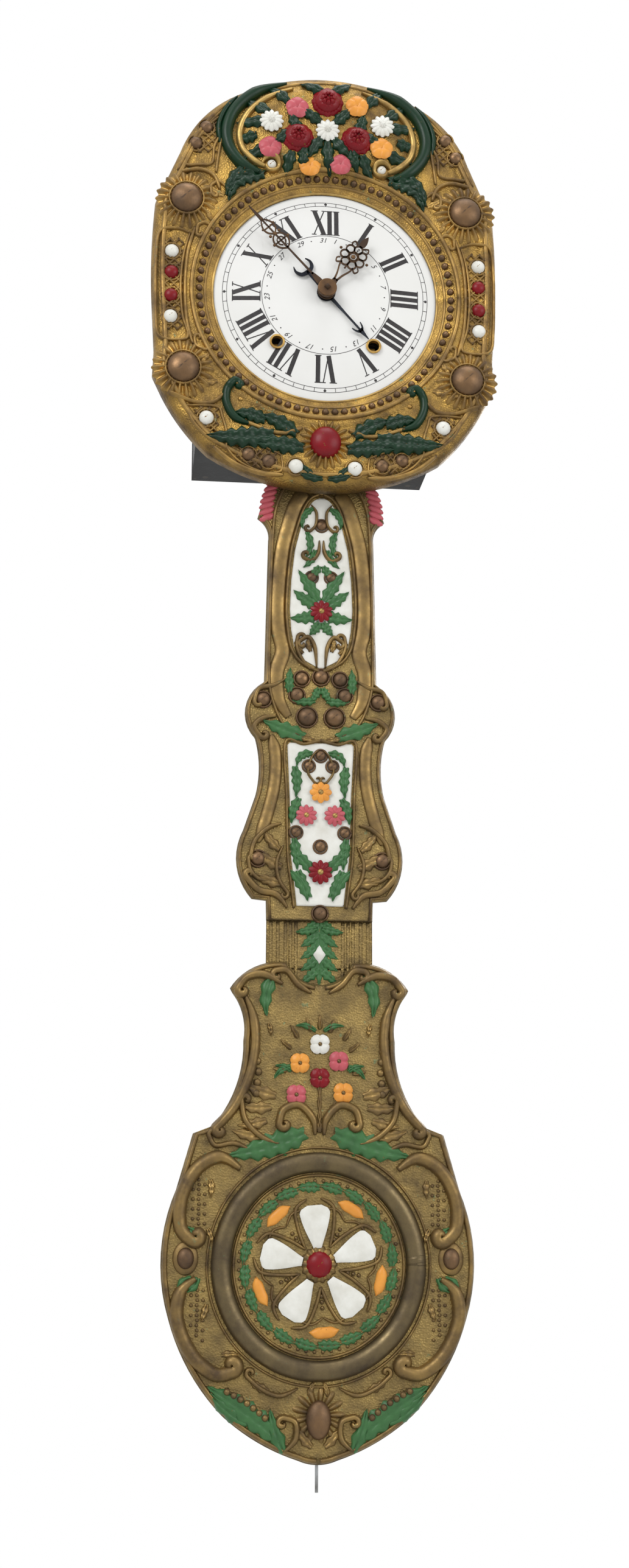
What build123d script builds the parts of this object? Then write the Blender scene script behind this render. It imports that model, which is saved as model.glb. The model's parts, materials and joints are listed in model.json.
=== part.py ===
from build123d import *
import os
from math import asin, atan2, cos, degrees, pi, radians, sin, sqrt

# Comtoise clock: iron cage, two-train movement, enamel dial in a stamped brass head, stamped pendulum.
# Millimetres. X to the right, Y into the wall, Z up. The origin is on the wall, behind the hands' axis.
# "out" is a distance out from the wall, towards the viewer.

os.makedirs("parts", exist_ok=True)

# Fits
running_clearance = 0.05
tight_clearance = 0.01
loose_clearance = 0.3
sheet_gap = 0.3

# Case
case_width = 239
case_depth = 140
case_bottom = -123
case_top = 130
cage_plate = 3
back_sheet = 1.5
door_sheet = 1.2
door_overhang = 0.7
door_end_gap = 0.4
pintle_radius = 1.5
knuckle_wall = 1.3
pintle_out = 6
pillar_size = 9
pillar_tenon_radius = 3
front_pillar_setback = 3
rear_pillar_out = 10.5
rear_pillar_inset = 14
line_slot_length = 66
line_slot_width = 13
hanger_width = 30
hanger_height = 38
hanger_sheet = 3
hanger_hole_radius = 6

# Movement bars
bar_width = 14
bar_thickness = 5
front_bar_setback = 4
rear_bar_out = 10
arm_width = 10
tenon_width = 7
tenon_thickness = 3

# Arbors
arbor_radius = 2.2
pivot_radius = 1.5
barrel_arbor_radius = 3.6
winding_square = 5.6
winding_square_out = case_depth + 34

# Going train
winding_hole_x = 46.5
great_teeth = 112
centre_pinion_leaves = 14
great_module = 1.1
centre_teeth = 96
third_pinion_leaves = 12
centre_module = 0.8
third_teeth = 90
escape_pinion_leaves = 12
third_module = 0.7
third_direction = 46
escape_teeth = 30
escape_radius = 27
escape_tooth_depth = 4.6
pendulum_pivot_z = 100
pallet_clearance = 2.8

# Strike train
strike_great_teeth = 84
strike_pinion_leaves = 12
strike_module = 1.0
pin_wheel_teeth = 78
warning_pinion_leaves = 12
pin_module = 0.8
warning_teeth = 60
fly_pinion_leaves = 10
warning_module = 0.7
lifting_pins = 8
lifting_pin_circle = 27
lifting_pin_radius = 1.0
lifting_pin_length = 8
fly_radius = 15
fly_length = 50
hammer_arbor_x = -88
hammer_arbor_z = -10
hammer_head_radius = 7
hammer_rod_radius = 2
hammer_lift = 8
hammer_tail_across = 21.2
hammer_tail_above = 25.3
bell_radius = 58
bell_height = 42
bell_wall = 3
bell_lift = 10
bell_post_radius = 3
bell_gap = 1.5

# Wheels
wheel_thickness = 3
great_wheel_thickness = 4
pinion_length = 12
rim_width = 6
barrel_radius = 27
barrel_flange_radius = 29
flange_thickness = 3
ratchet_teeth = 18
ratchet_radius = 17
ratchet_depth = 2.5
ratchet_thickness = 4
ratchet_gap = 0.5
drum_setback = ratchet_gap + ratchet_thickness
square_shoulder = 3
click_reach = ratchet_radius + 3.5
click_length = 14
click_width = 5
click_thickness = 3
great_hub_wall = 7
hub_wall = 4
tooth_addendum = 0.85
tooth_dedendum = 1.15

# Motion work
motion_distance = 18
cannon_teeth = 12
minute_wheel_teeth = 36
minute_pinion_leaves = 10
hour_wheel_teeth = 40
motion_direction = 150
calendar_teeth = 62
calendar_module = 0.5
cannon_pipe_radius = 3.5
hour_pipe_radius = 4.9
calendar_pipe_radius = 6.4

# Dial and head
dial_plate_out = case_depth + 28
dial_out = dial_plate_out + 12
dial_radius = 113
dial_sight_radius = 108
dial_thickness = 2.4
dial_dome = 8.4
dial_plate_sheet = 1.5
dial_plate_top = 150
dial_plate_bottom = -130
winding_hole_radius = 6.6
grommet_radius = 7.4
grommet_hole_radius = 5.4
grommet_proud = 0.8
head_back_out = dial_plate_out - 2
head_face_out = dial_out + 8
head_wall = 4
head_rim_width = 10
head_edge_round = 12
crest_height = 8
collar_wall = 4
opening_radius = 126
lip_thickness = 1.5
bead_circle = 122.1
bead_radius = 3.2
fixing_pin_x = 81
fixing_pin_top = 109
fixing_pin_bottom = -113
fixing_pin_radius = 1.4
rosette_x = 136
rosette_top = 89
rosette_bottom = -86
rosette_radius = 27
rosette_rise = 9
rosette_boss_radius = 14.5
rosette_boss_rise = 10

# Hands, as distances out from the wall
hand_layer = 3.4
calendar_hand_out = dial_out + 10
hour_hand_out = calendar_hand_out + hand_layer
minute_hand_out = hour_hand_out + hand_layer
hand_sheet = 1.2
hand_nut_radius = 9.2
hand_nut_front = minute_hand_out + 5.7
minute_hand_length = 113
hour_hand_length = 71
calendar_hand_length = 62
calendar_tail_length = 38
minute_hand_turn = 317.5
hour_hand_turn = 35
calendar_hand_turn = 138.5

# Pendulum
pendulum_out = case_depth + 6
backing_sheet = 1.2
leader_thickness = 2
leader_width = 8
leader_bottom = -190
loop_half_width = 16
loop_half_height = 24
loop_band = 5
spring_thickness = 0.3
spring_width = 8
spring_top = 114
chop_top = 88
plate_top = -150
plate_depth = 7
plate_wall = 1.5
plate_rim = 5
foot_top = -606
foot_shoulder = -650
foot_bottom = -670
foot_half_width = 48.5
tongue_half_width = 34
foot_depth = 3
bob_centre_z = -911
bob_ring_radius = 96
bob_ring_width = 17
bob_ring_height = 5.5
bob_depth = 6
bob_edge_round = 3
bob_pin_z = -652
bob_pin_radius = 2.5
bob_pin_head = 1.5
eye_radius = 6
eye_thickness = 2.2
bob_bottom = -1077.5
rod_radius = 1.4
rod_bottom = -1101
weight_radius = 70
weight_thickness = 12
weight_clearance = 0.3
rating_nut_radius = 5.8
rating_nut_height = 8
swing_limit = 3

# Derived places
half_case = case_width / 2
plate_inner_top = case_top - cage_plate
plate_inner_bottom = case_bottom + cage_plate
cage_height = plate_inner_top - plate_inner_bottom
front_bar_out = case_depth - front_bar_setback - bar_thickness
front_bar_face = front_bar_out + bar_thickness
rear_bar_face = rear_bar_out + bar_thickness
door_face_x = half_case - door_overhang
pintle_x = door_face_x - pintle_radius - knuckle_wall
great_distance = great_module * (great_teeth + centre_pinion_leaves) / 2
winding_hole_z = -sqrt(great_distance ** 2 - winding_hole_x ** 2)
third_distance = centre_module * (centre_teeth + third_pinion_leaves) / 2
third_x = third_distance * cos(radians(third_direction))
third_z = third_distance * sin(radians(third_direction))
escape_distance = third_module * (third_teeth + escape_pinion_leaves) / 2
escape_z = third_z + sqrt(escape_distance ** 2 - third_x ** 2)
strike_x = -winding_hole_x
pin_wheel_z = winding_hole_z + strike_module * (strike_great_teeth + strike_pinion_leaves) / 2
warning_z = pin_wheel_z + pin_module * (pin_wheel_teeth + warning_pinion_leaves) / 2
fly_z = warning_z + warning_module * (warning_teeth + fly_pinion_leaves) / 2
motion_x = motion_distance * cos(radians(motion_direction))
motion_z = motion_distance * sin(radians(motion_direction))
cannon_module = 2 * motion_distance / (cannon_teeth + minute_wheel_teeth)
hour_module = 2 * motion_distance / (minute_pinion_leaves + hour_wheel_teeth)


def facing(x, z, out):
    """A sketch plane parallel to the wall, facing the viewer, centred at x and z."""
    return Plane(origin=(x, -out, z), x_dir=(1, 0, 0), z_dir=(0, -1, 0))


def level(z):
    """A horizontal sketch plane whose second axis points out from the wall."""
    return Plane(origin=(0, 0, z), x_dir=(1, 0, 0), z_dir=(0, 0, -1))


def disc(x, z, out, radius, hole=0):
    """A round face parallel to the wall, with a round hole where one is given."""
    with BuildSketch(facing(x, z, out)) as face:
        Circle(radius)
        if hole:
            Circle(hole, mode=Mode.SUBTRACT)
    return face.sketch


def square(x, z, out, size):
    """A square face parallel to the wall."""
    with BuildSketch(facing(x, z, out)) as face:
        Rectangle(size, size)
    return face.sketch


def dome(x, z, out, radius, height):
    """A low round boss, a cap of a sphere, standing on a face parallel to the wall."""
    sphere = (radius ** 2 + height ** 2) / (2 * height)
    shoulder = sqrt(sphere ** 2 - (radius / 2) ** 2) - (sphere - height)
    with BuildPart() as boss:
        with BuildSketch(Plane.XZ):
            with BuildLine():
                ThreePointArc((0, height), (radius / 2, shoulder), (radius, 0))
                Line((radius, 0), (0, 0))
                Line((0, 0), (0, height))
            make_face()
        revolve(axis=Axis.Z)
    return Pos(x, -out, z) * Rot(90, 0, 0) * boss.part


def mirrored_face(out, *runs, inset=0):
    """A symmetric face parallel to the wall, from the runs of its right side, top to bottom.

    Two points make a straight run and three make an arc. The first and the last run cross the middle.
    """
    with BuildSketch(facing(0, 0, out)) as face:
        with BuildLine():
            for middle, end in (runs[0], reversed(runs[-1])):
                if middle[1] == end[1]:
                    Line((-end[0], end[1]), end)
                else:
                    ThreePointArc((-end[0], end[1]), middle, end)
            for run in runs[1:-1]:
                for side in (-1, 1):
                    points = [(side * x, z) for x, z in run]
                    if len(points) == 2:
                        Line(*points)
                    else:
                        ThreePointArc(*points)
        make_face()
        if inset:
            offset(amount=-inset)
    return face.sketch


def gear(x, z, out, teeth, module, phase, bore=0, windows=0, hub=0):
    """A toothed wheel's face. A tooth points in the direction of phase, in degrees."""
    pitch_radius = module * teeth / 2
    tip = pitch_radius + tooth_addendum * module
    root = pitch_radius - tooth_dedendum * module
    pitch = 360 / teeth
    corners = []
    for tooth in range(teeth):
        middle = phase + tooth * pitch
        for radius, share in ((root, -0.25), (tip, -0.1), (tip, 0.1), (root, 0.25)):
            turn = radians(middle + share * pitch)
            corners.append((radius * cos(turn), radius * sin(turn)))
    with BuildSketch(facing(x, z, out)) as face:
        with BuildLine():
            Polyline(*corners, close=True)
        make_face()
        if windows:
            inner_radius = root - rim_width
            Circle(inner_radius, mode=Mode.SUBTRACT)
            Circle(hub)
            with PolarLocations(0, windows):
                with Locations(((inner_radius + root) / 4, 0)):
                    Rectangle((inner_radius + root) / 2, rim_width * 0.8)
        if bore:
            Circle(bore, mode=Mode.SUBTRACT)
    return face.sketch


def meshing_phase(direction, wheel_teeth, wheel_phase, pinion_leaves):
    """The phase of a pinion that lies in that direction from a wheel, in mesh with it."""
    off_line = (direction - wheel_phase) / (360 / wheel_teeth)
    return direction + 180 + (off_line + 0.5) * 360 / pinion_leaves


# Phases of the trains: each driver has a tooth on the line to its pinion
going_direction = degrees(atan2(-winding_hole_z, -winding_hole_x))
centre_pinion_phase = meshing_phase(going_direction, great_teeth, going_direction, centre_pinion_leaves)
third_pinion_phase = meshing_phase(third_direction, centre_teeth, third_direction, third_pinion_leaves)
escape_direction = degrees(atan2(escape_z - third_z, -third_x))
escape_pinion_phase = meshing_phase(escape_direction, third_teeth, escape_direction, escape_pinion_leaves)
strike_pinion_phase = meshing_phase(90, strike_great_teeth, 90, strike_pinion_leaves)
warning_pinion_phase = meshing_phase(90, pin_wheel_teeth, 90, warning_pinion_leaves)
fly_pinion_phase = meshing_phase(90, warning_teeth, 90, fly_pinion_leaves)
minute_wheel_phase = meshing_phase(motion_direction, cannon_teeth, motion_direction, minute_wheel_teeth)
hour_phase = meshing_phase(
    motion_direction + 180, minute_pinion_leaves, motion_direction + 180, hour_wheel_teeth
)

# Layers of the movement, as distances out from the wall
great_wheel_out = rear_bar_face + 22
centre_wheel_out = rear_bar_face + 8
third_wheel_out = great_wheel_out + great_wheel_thickness + 11
escape_wheel_out = third_wheel_out + wheel_thickness + 17
barrel_rear = great_wheel_out + great_wheel_thickness
going_barrel_front = front_bar_out - 12
strike_wheel_out = front_bar_out - 13
pin_wheel_out = strike_wheel_out - 9
strike_barrel_front = pin_wheel_out - lifting_pin_length - 1
warning_wheel_out = pin_wheel_out - lifting_pin_length - wheel_thickness - 3
fly_out = warning_wheel_out - 10 - fly_length
cannon_out = pendulum_out + 4
hour_wheel_out = cannon_out + wheel_thickness + 2.5
calendar_wheel_out = hour_wheel_out + wheel_thickness + 3

# Cage bottom plate, with a slot under each barrel for its line
tenon_xs = (strike_x, 0, winding_hole_x)
bar_outs = (front_bar_out + bar_thickness / 2, rear_bar_out + bar_thickness / 2)
front_pillar_x = door_face_x - door_sheet - sheet_gap - pillar_size / 2
rear_pillar_x = half_case - rear_pillar_inset
front_pillar_out = case_depth - front_pillar_setback - pillar_size / 2
pillar_places = [
    (-front_pillar_x, front_pillar_out),
    (front_pillar_x, front_pillar_out),
    (-rear_pillar_x, rear_pillar_out),
    (rear_pillar_x, rear_pillar_out),
]
bar_places = [(x, out) for x in tenon_xs for out in bar_outs]
pintle_places = [(-pintle_x, pintle_out), (pintle_x, pintle_out)]
line_slot_out = (barrel_rear + strike_barrel_front) / 2
line_slot_x = winding_hole_x + barrel_radius


def cage_plate_face(z):
    """The outline of the top and the bottom plate, with the holes that both have."""
    with BuildSketch(level(z)) as face:
        with Locations((0, (back_sheet + case_depth) / 2)):
            Rectangle(case_width, case_depth - back_sheet)
        with Locations(*pillar_places):
            Circle(pillar_tenon_radius + running_clearance, mode=Mode.SUBTRACT)
        with Locations(*bar_places):
            Rectangle(
                tenon_width + 2 * running_clearance, tenon_thickness + 2 * running_clearance, mode=Mode.SUBTRACT
            )
        with Locations(*pintle_places):
            Circle(pintle_radius + running_clearance, mode=Mode.SUBTRACT)
    return face.sketch


with BuildPart() as cage_bottom_plate:
    extrude(cage_plate_face(plate_inner_bottom), amount=cage_plate)
    with BuildSketch(level(plate_inner_bottom)):
        with Locations((-line_slot_x, line_slot_out), (line_slot_x, line_slot_out)):
            Rectangle(line_slot_width, line_slot_length)
    extrude(amount=cage_plate, mode=Mode.SUBTRACT)

# Cage top plate, with a slot for the hammer's rod and a hole for the bell post
hammer_out = pin_wheel_out - lifting_pin_length / 2
hammer_rise = plate_inner_top + cage_plate / 2 - hammer_arbor_z
hammer_slot_reach = hammer_rise * sin(radians(hammer_lift))
hammer_slot_length = hammer_slot_reach + 2 * (hammer_rod_radius + 2)
with BuildPart() as cage_top_plate:
    extrude(cage_plate_face(case_top), amount=cage_plate)
    with BuildSketch(level(case_top)):
        with Locations((hammer_arbor_x - hammer_slot_reach / 2, hammer_out)):
            SlotOverall(hammer_slot_length, 2 * (hammer_rod_radius + 2))
        with Locations((0, hammer_out)):
            Circle(bell_post_radius + running_clearance)
    extrude(amount=cage_plate, mode=Mode.SUBTRACT)

# Corner pillars, with a round tenon at each end
with BuildPart() as cage_pillars:
    with BuildSketch(level(plate_inner_top)):
        with Locations(*pillar_places):
            Rectangle(pillar_size, pillar_size)
    extrude(amount=cage_height)
    with BuildSketch(level(case_top)):
        with Locations(*pillar_places):
            Circle(pillar_tenon_radius)
    extrude(amount=case_top - case_bottom)

# Back plate
with BuildPart() as back_plate:
    with BuildSketch(facing(0, (case_top + case_bottom) / 2, 0)):
        Rectangle(case_width, case_top - case_bottom)
    extrude(amount=back_sheet)


def bar_set(out, arms, holes):
    """Three upright bars with arms to outlying arbors, and their pivot holes."""
    with BuildPart() as bars:
        with BuildSketch(facing(0, 0, out)):
            with Locations(*[(x, (plate_inner_top + plate_inner_bottom) / 2) for x in tenon_xs]):
                Rectangle(bar_width, cage_height)
            for start, end in arms:
                run = Vector(*end) - Vector(*start)
                middle = (Vector(*end) + Vector(*start)) / 2
                with Locations(Location(middle, degrees(atan2(run.Y, run.X)))):
                    SlotCenterToCenter(run.length, arm_width)
            for x, z, radius in holes:
                with Locations((x, z)):
                    Circle(radius + running_clearance, mode=Mode.SUBTRACT)
        extrude(amount=bar_thickness)
        with BuildSketch(level(case_top)):
            with Locations(*[(x, out + bar_thickness / 2) for x in tenon_xs]):
                Rectangle(tenon_width, tenon_thickness)
        extrude(amount=cage_plate)
        with BuildSketch(level(plate_inner_bottom)):
            with Locations(*[(x, out + bar_thickness / 2) for x in tenon_xs]):
                Rectangle(tenon_width, tenon_thickness)
        extrude(amount=cage_plate)
    return bars.part


# Front and rear movement bars
bar_arms = [
    ((0, third_z), (third_x, third_z)),
    ((strike_x, hammer_arbor_z), (hammer_arbor_x, hammer_arbor_z)),
]
train_holes = [
    (third_x, third_z, pivot_radius),
    (0, escape_z, pivot_radius),
    (strike_x, pin_wheel_z, pivot_radius),
    (strike_x, warning_z, pivot_radius),
    (strike_x, fly_z, pivot_radius),
    (hammer_arbor_x, hammer_arbor_z, pivot_radius),
]
front_holes = train_holes + [
    (0, 0, arbor_radius),
    (0, pendulum_pivot_z, arbor_radius),
    (winding_hole_x, winding_hole_z, barrel_arbor_radius),
    (strike_x, winding_hole_z, barrel_arbor_radius),
]
rear_holes = train_holes + [
    (0, 0, pivot_radius),
    (0, pendulum_pivot_z, pivot_radius),
    (winding_hole_x, winding_hole_z, pivot_radius),
    (strike_x, winding_hole_z, pivot_radius),
]
with BuildPart() as front_bars:
    add(bar_set(front_bar_out, bar_arms, front_holes))

with BuildPart() as rear_bars:
    add(bar_set(rear_bar_out, bar_arms, rear_holes))

# Side doors, each rolled round its pintle, with a knob near the front edge
door_bottom = plate_inner_bottom + door_end_gap
door_height = cage_height - 2 * door_end_gap
knuckle_radius = pintle_radius + knuckle_wall
door_front_out = case_depth - 1


def door(side):
    """A side door: side is 1 on the right and -1 on the left."""
    with BuildPart() as leaf:
        with BuildSketch(level(door_bottom + door_height)):
            with Locations((side * (door_face_x - door_sheet / 2), (pintle_out + door_front_out) / 2)):
                Rectangle(door_sheet, door_front_out - pintle_out)
            with Locations((side * pintle_x, pintle_out)):
                Circle(knuckle_radius)
                Circle(pintle_radius + running_clearance, mode=Mode.SUBTRACT)
        extrude(amount=door_height)
        with BuildSketch(Plane(origin=(side * door_face_x, 0, 0), x_dir=(0, -1, 0), z_dir=(side, 0, 0))):
            with Locations((door_front_out - 14, 0)):
                Circle(5)
        extrude(amount=4)
        fillet(leaf.faces().sort_by(Axis.X)[-1 if side > 0 else 0].edges(), radius=2)
        with BuildSketch(Plane(origin=(side * door_face_x, 0, 0), x_dir=(0, -1, 0), z_dir=(side, 0, 0))):
            with Locations((door_front_out - 14, 0)):
                Circle(3)
        extrude(amount=2)
    return leaf.part


with BuildPart() as left_door:
    add(door(-1))

with BuildPart() as right_door:
    add(door(1))

with BuildPart() as door_pintles:
    with BuildSketch(level(case_top)):
        with Locations(*pintle_places):
            Circle(pintle_radius)
    extrude(amount=case_top - case_bottom)

# Hanging loop at the top of the back, with its foot on the top plate
with BuildPart() as wall_hanger:
    with BuildSketch(facing(0, case_top, back_sheet)):
        with Locations((0, hanger_height / 2)):
            Rectangle(hanger_width, hanger_height)
        with Locations((0, hanger_height - hanger_width / 2)):
            Circle(hanger_hole_radius, mode=Mode.SUBTRACT)
    extrude(amount=hanger_sheet)
    fillet(wall_hanger.edges().filter_by(Axis.Y).group_by(Axis.Z)[-1], radius=hanger_width / 2 - 1)
    with BuildSketch(facing(0, case_top, back_sheet + hanger_sheet)):
        with Locations((0, hanger_sheet / 2)):
            Rectangle(hanger_width, hanger_sheet)
    extrude(amount=hanger_width / 2)

# Bell on its post above the cage
bell_rim_z = case_top + bell_lift
bell_place = Pos(0, -hammer_out, bell_rim_z)
with BuildPart() as bell_profile:
    with BuildSketch(Plane.XZ):
        with BuildLine():
            Spline((0, bell_height), (bell_radius * 0.55, bell_height * 0.84),
                   (bell_radius * 0.88, bell_height * 0.4), (bell_radius, 0), tangents=((1, 0), (0.3, -1)))
            Line((bell_radius, 0), (bell_radius - bell_wall, 0))
            Spline((bell_radius - bell_wall, 0), (bell_radius * 0.88 - bell_wall, bell_height * 0.38),
                   (bell_radius * 0.53, bell_height * 0.84 - bell_wall), (0, bell_height - bell_wall),
                   tangents=((-0.3, 1), (-1, 0)))
            Line((0, bell_height - bell_wall), (0, bell_height))
        make_face()
    revolve(axis=Axis.Z)
    Cylinder(bell_post_radius - 1 + running_clearance, 3 * bell_height, mode=Mode.SUBTRACT)
with BuildPart() as bell:
    add(bell_place * bell_profile.part)

bell_seat = bell_height - bell_wall
with BuildPart() as bell_post:
    with Locations((0, -hammer_out, case_top)):
        Cylinder(6, 3, align=(Align.CENTER, Align.CENTER, Align.MIN))
    with Locations((0, -hammer_out, case_bottom + cage_height + cage_plate)):
        Cylinder(bell_post_radius, cage_plate, align=(Align.CENTER, Align.CENTER, Align.MIN))
    with Locations((0, -hammer_out, case_top)):
        Cylinder(bell_post_radius, bell_lift + bell_seat - 0.1, align=(Align.CENTER, Align.CENTER, Align.MIN))
        Cylinder(
            bell_post_radius - 1, bell_lift + bell_height + 8,
            align=(Align.CENTER, Align.CENTER, Align.MIN),
        )

with BuildPart() as bell_nut:
    with BuildSketch(Plane(origin=(0, -hammer_out, bell_rim_z + bell_height))):
        RegularPolygon(6, 6)
        Circle(bell_post_radius - 1 + running_clearance, mode=Mode.SUBTRACT)
    extrude(amount=5)

# Hammer: arbor, tail over the lifting pins, and rod with its head beside the bell
tail_x = strike_x - hammer_tail_across
tail_z = pin_wheel_z + hammer_tail_above
head_z = bell_rim_z + 8
with BuildPart() as hammer:
    extrude(
        disc(hammer_arbor_x, hammer_arbor_z, rear_bar_out, pivot_radius),
        amount=front_bar_face - rear_bar_out,
    )
    extrude(
        disc(hammer_arbor_x, hammer_arbor_z, rear_bar_face + sheet_gap, arbor_radius + 0.8),
        amount=front_bar_out - rear_bar_face - 2 * sheet_gap,
    )
    with BuildSketch(facing(0, 0, hammer_out - 2)):
        with BuildLine():
            Line((hammer_arbor_x, hammer_arbor_z), (tail_x, tail_z))
        trace(line_width=5)
    extrude(amount=4)
    with Locations((hammer_arbor_x, -hammer_out, hammer_arbor_z)):
        Cylinder(hammer_rod_radius, head_z - hammer_arbor_z, align=(Align.CENTER, Align.CENTER, Align.MIN))
    with BuildSketch(Plane.YZ.offset(-bell_radius - bell_gap)):
        with Locations((-hammer_out, head_z)):
            Circle(hammer_head_radius)
    extrude(amount=-16)
    with BuildSketch(Plane.YZ.offset(-bell_radius - bell_gap - 15)):
        with Locations((-hammer_out, head_z)):
            Circle(hammer_rod_radius + 1)
    extrude(amount=hammer_arbor_x + bell_radius + bell_gap + 15 - hammer_rod_radius - 1)


def barrel(x, front, ratchet_out):
    """A line drum with its flanges, ratchet wheel, arbor and winding square."""
    z = winding_hole_z
    rear = barrel_rear + drum_setback
    corners = []
    for tooth in range(ratchet_teeth):
        for radius, share in ((ratchet_radius, 0), (ratchet_radius - ratchet_depth, 0.12)):
            turn = 2 * pi * (tooth + share) / ratchet_teeth
            corners.append((radius * cos(turn), radius * sin(turn)))
    with BuildPart() as drum:
        extrude(disc(x, z, rear, barrel_radius), amount=front - rear)
        for out in (rear, front - flange_thickness):
            extrude(disc(x, z, out, barrel_flange_radius), amount=flange_thickness)
        with BuildSketch(facing(x, z, ratchet_out)):
            with BuildLine():
                Polyline(*corners, close=True)
            make_face()
        extrude(amount=ratchet_thickness)
        extrude(disc(x, z, rear_bar_out, pivot_radius), amount=rear - rear_bar_out)
        extrude(disc(x, z, rear_bar_face + loose_clearance, arbor_radius), amount=rear - rear_bar_face)
        extrude(disc(x, z, front, barrel_arbor_radius), amount=front_bar_face + square_shoulder - front)
        extrude(square(x, z, front_bar_face, winding_square), amount=winding_square_out - front_bar_face)
    return drum.part


def great_wheel(x, out, teeth, module, phase, shaft_radius):
    """A great wheel, free on its barrel's arbor."""
    bore = shaft_radius + running_clearance
    with BuildPart() as wheel:
        face = gear(x, winding_hole_z, out, teeth, module, phase, bore, 5, bore + great_hub_wall)
        extrude(face, amount=great_wheel_thickness)
    return wheel.part


def click(x, out):
    """A click on its stud, standing just clear of the ratchet's tips."""
    with BuildPart() as pawl:
        with BuildSketch(facing(x, winding_hole_z, out)):
            with BuildLine():
                Line((click_reach, -click_length / 2), (click_reach, click_length / 2))
            trace(line_width=click_width)
            with Locations((click_reach, -click_length / 2)):
                Circle(click_width * 0.7)
        extrude(amount=click_thickness)
    return pawl.part


# Going barrel, its great wheel at the back, and the click between them
with BuildPart() as going_barrel:
    add(barrel(winding_hole_x, going_barrel_front, barrel_rear + ratchet_gap))

with BuildPart() as going_great_wheel:
    add(great_wheel(winding_hole_x, great_wheel_out, great_teeth, great_module, going_direction, arbor_radius))

with BuildPart() as going_click:
    add(click(winding_hole_x, barrel_rear))

# Strike barrel, its great wheel at the front, and the click between them
with BuildPart() as strike_barrel:
    add(barrel(strike_x, strike_barrel_front, strike_wheel_out - drum_setback))

with BuildPart() as strike_great_wheel:
    add(great_wheel(strike_x, strike_wheel_out, strike_great_teeth, strike_module, 90, barrel_arbor_radius))

with BuildPart() as strike_click:
    add(click(strike_x, strike_wheel_out - click_thickness))


def plain_arbor(x, z, pinion_out, pinion_face, length=pinion_length):
    """An arbor between the bars, with its pinion cut on it."""
    with BuildPart() as arbor:
        extrude(disc(x, z, rear_bar_out, pivot_radius), amount=front_bar_face - rear_bar_out)
        extrude(
            disc(x, z, rear_bar_face + loose_clearance, arbor_radius),
            amount=front_bar_out - rear_bar_face - 2 * loose_clearance,
        )
        extrude(pinion_face, amount=length)
    return arbor.part


def train_wheel(x, z, out, teeth, module, phase):
    """A crossed-out train wheel, fitted on its arbor."""
    with BuildPart() as wheel:
        face = gear(x, z, out, teeth, module, phase, arbor_radius + tight_clearance, 4, arbor_radius + hub_wall)
        extrude(face, amount=wheel_thickness)
    return wheel.part


# Centre arbor, which carries the minute hand
centre_pinion_out = great_wheel_out - 4
with BuildPart() as centre_arbor:
    extrude(disc(0, 0, rear_bar_out, pivot_radius), amount=bar_thickness + 1)
    extrude(disc(0, 0, rear_bar_face + sheet_gap, arbor_radius), amount=hand_nut_front - 1 - rear_bar_face)
    extrude(
        gear(0, 0, centre_pinion_out, centre_pinion_leaves, great_module, centre_pinion_phase),
        amount=pinion_length,
    )

with BuildPart() as centre_wheel:
    add(train_wheel(0, 0, centre_wheel_out, centre_teeth, centre_module, third_direction))

# Third arbor and wheel
third_pinion_out = centre_wheel_out - 4
with BuildPart() as third_arbor:
    third_pinion = gear(
        third_x, third_z, third_pinion_out, third_pinion_leaves, centre_module, third_pinion_phase
    )
    add(plain_arbor(third_x, third_z, third_pinion_out, third_pinion))

with BuildPart() as third_wheel:
    add(train_wheel(third_x, third_z, third_wheel_out, third_teeth, third_module, escape_direction))

# Escape arbor and wheel
with BuildPart() as escape_arbor:
    escape_pinion_out = third_wheel_out - 4
    escape_pinion = gear(
        0, escape_z, escape_pinion_out, escape_pinion_leaves, third_module, escape_pinion_phase
    )
    add(plain_arbor(0, escape_z, escape_pinion_out, escape_pinion))

escape_corners = []
for tooth in range(escape_teeth):
    for radius, share in ((escape_radius - escape_tooth_depth, 0), (escape_radius, 0.42), (escape_radius, 0.5),
                          (escape_radius - escape_tooth_depth, 0.6)):
        tooth_turn = 2 * pi * (tooth + share) / escape_teeth
        escape_corners.append((radius * cos(tooth_turn), radius * sin(tooth_turn)))
with BuildPart() as escape_wheel:
    with BuildSketch(facing(0, escape_z, escape_wheel_out)):
        with BuildLine():
            Polyline(*escape_corners, close=True)
        make_face()
        Circle(escape_radius - escape_tooth_depth - 4, mode=Mode.SUBTRACT)
        Circle(arbor_radius + 4)
        with PolarLocations(0, 4):
            with Locations((escape_radius / 2 - 1, 0)):
                Rectangle(escape_radius - 6, 4)
        Circle(arbor_radius + tight_clearance, mode=Mode.SUBTRACT)
    extrude(amount=wheel_thickness)

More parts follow.
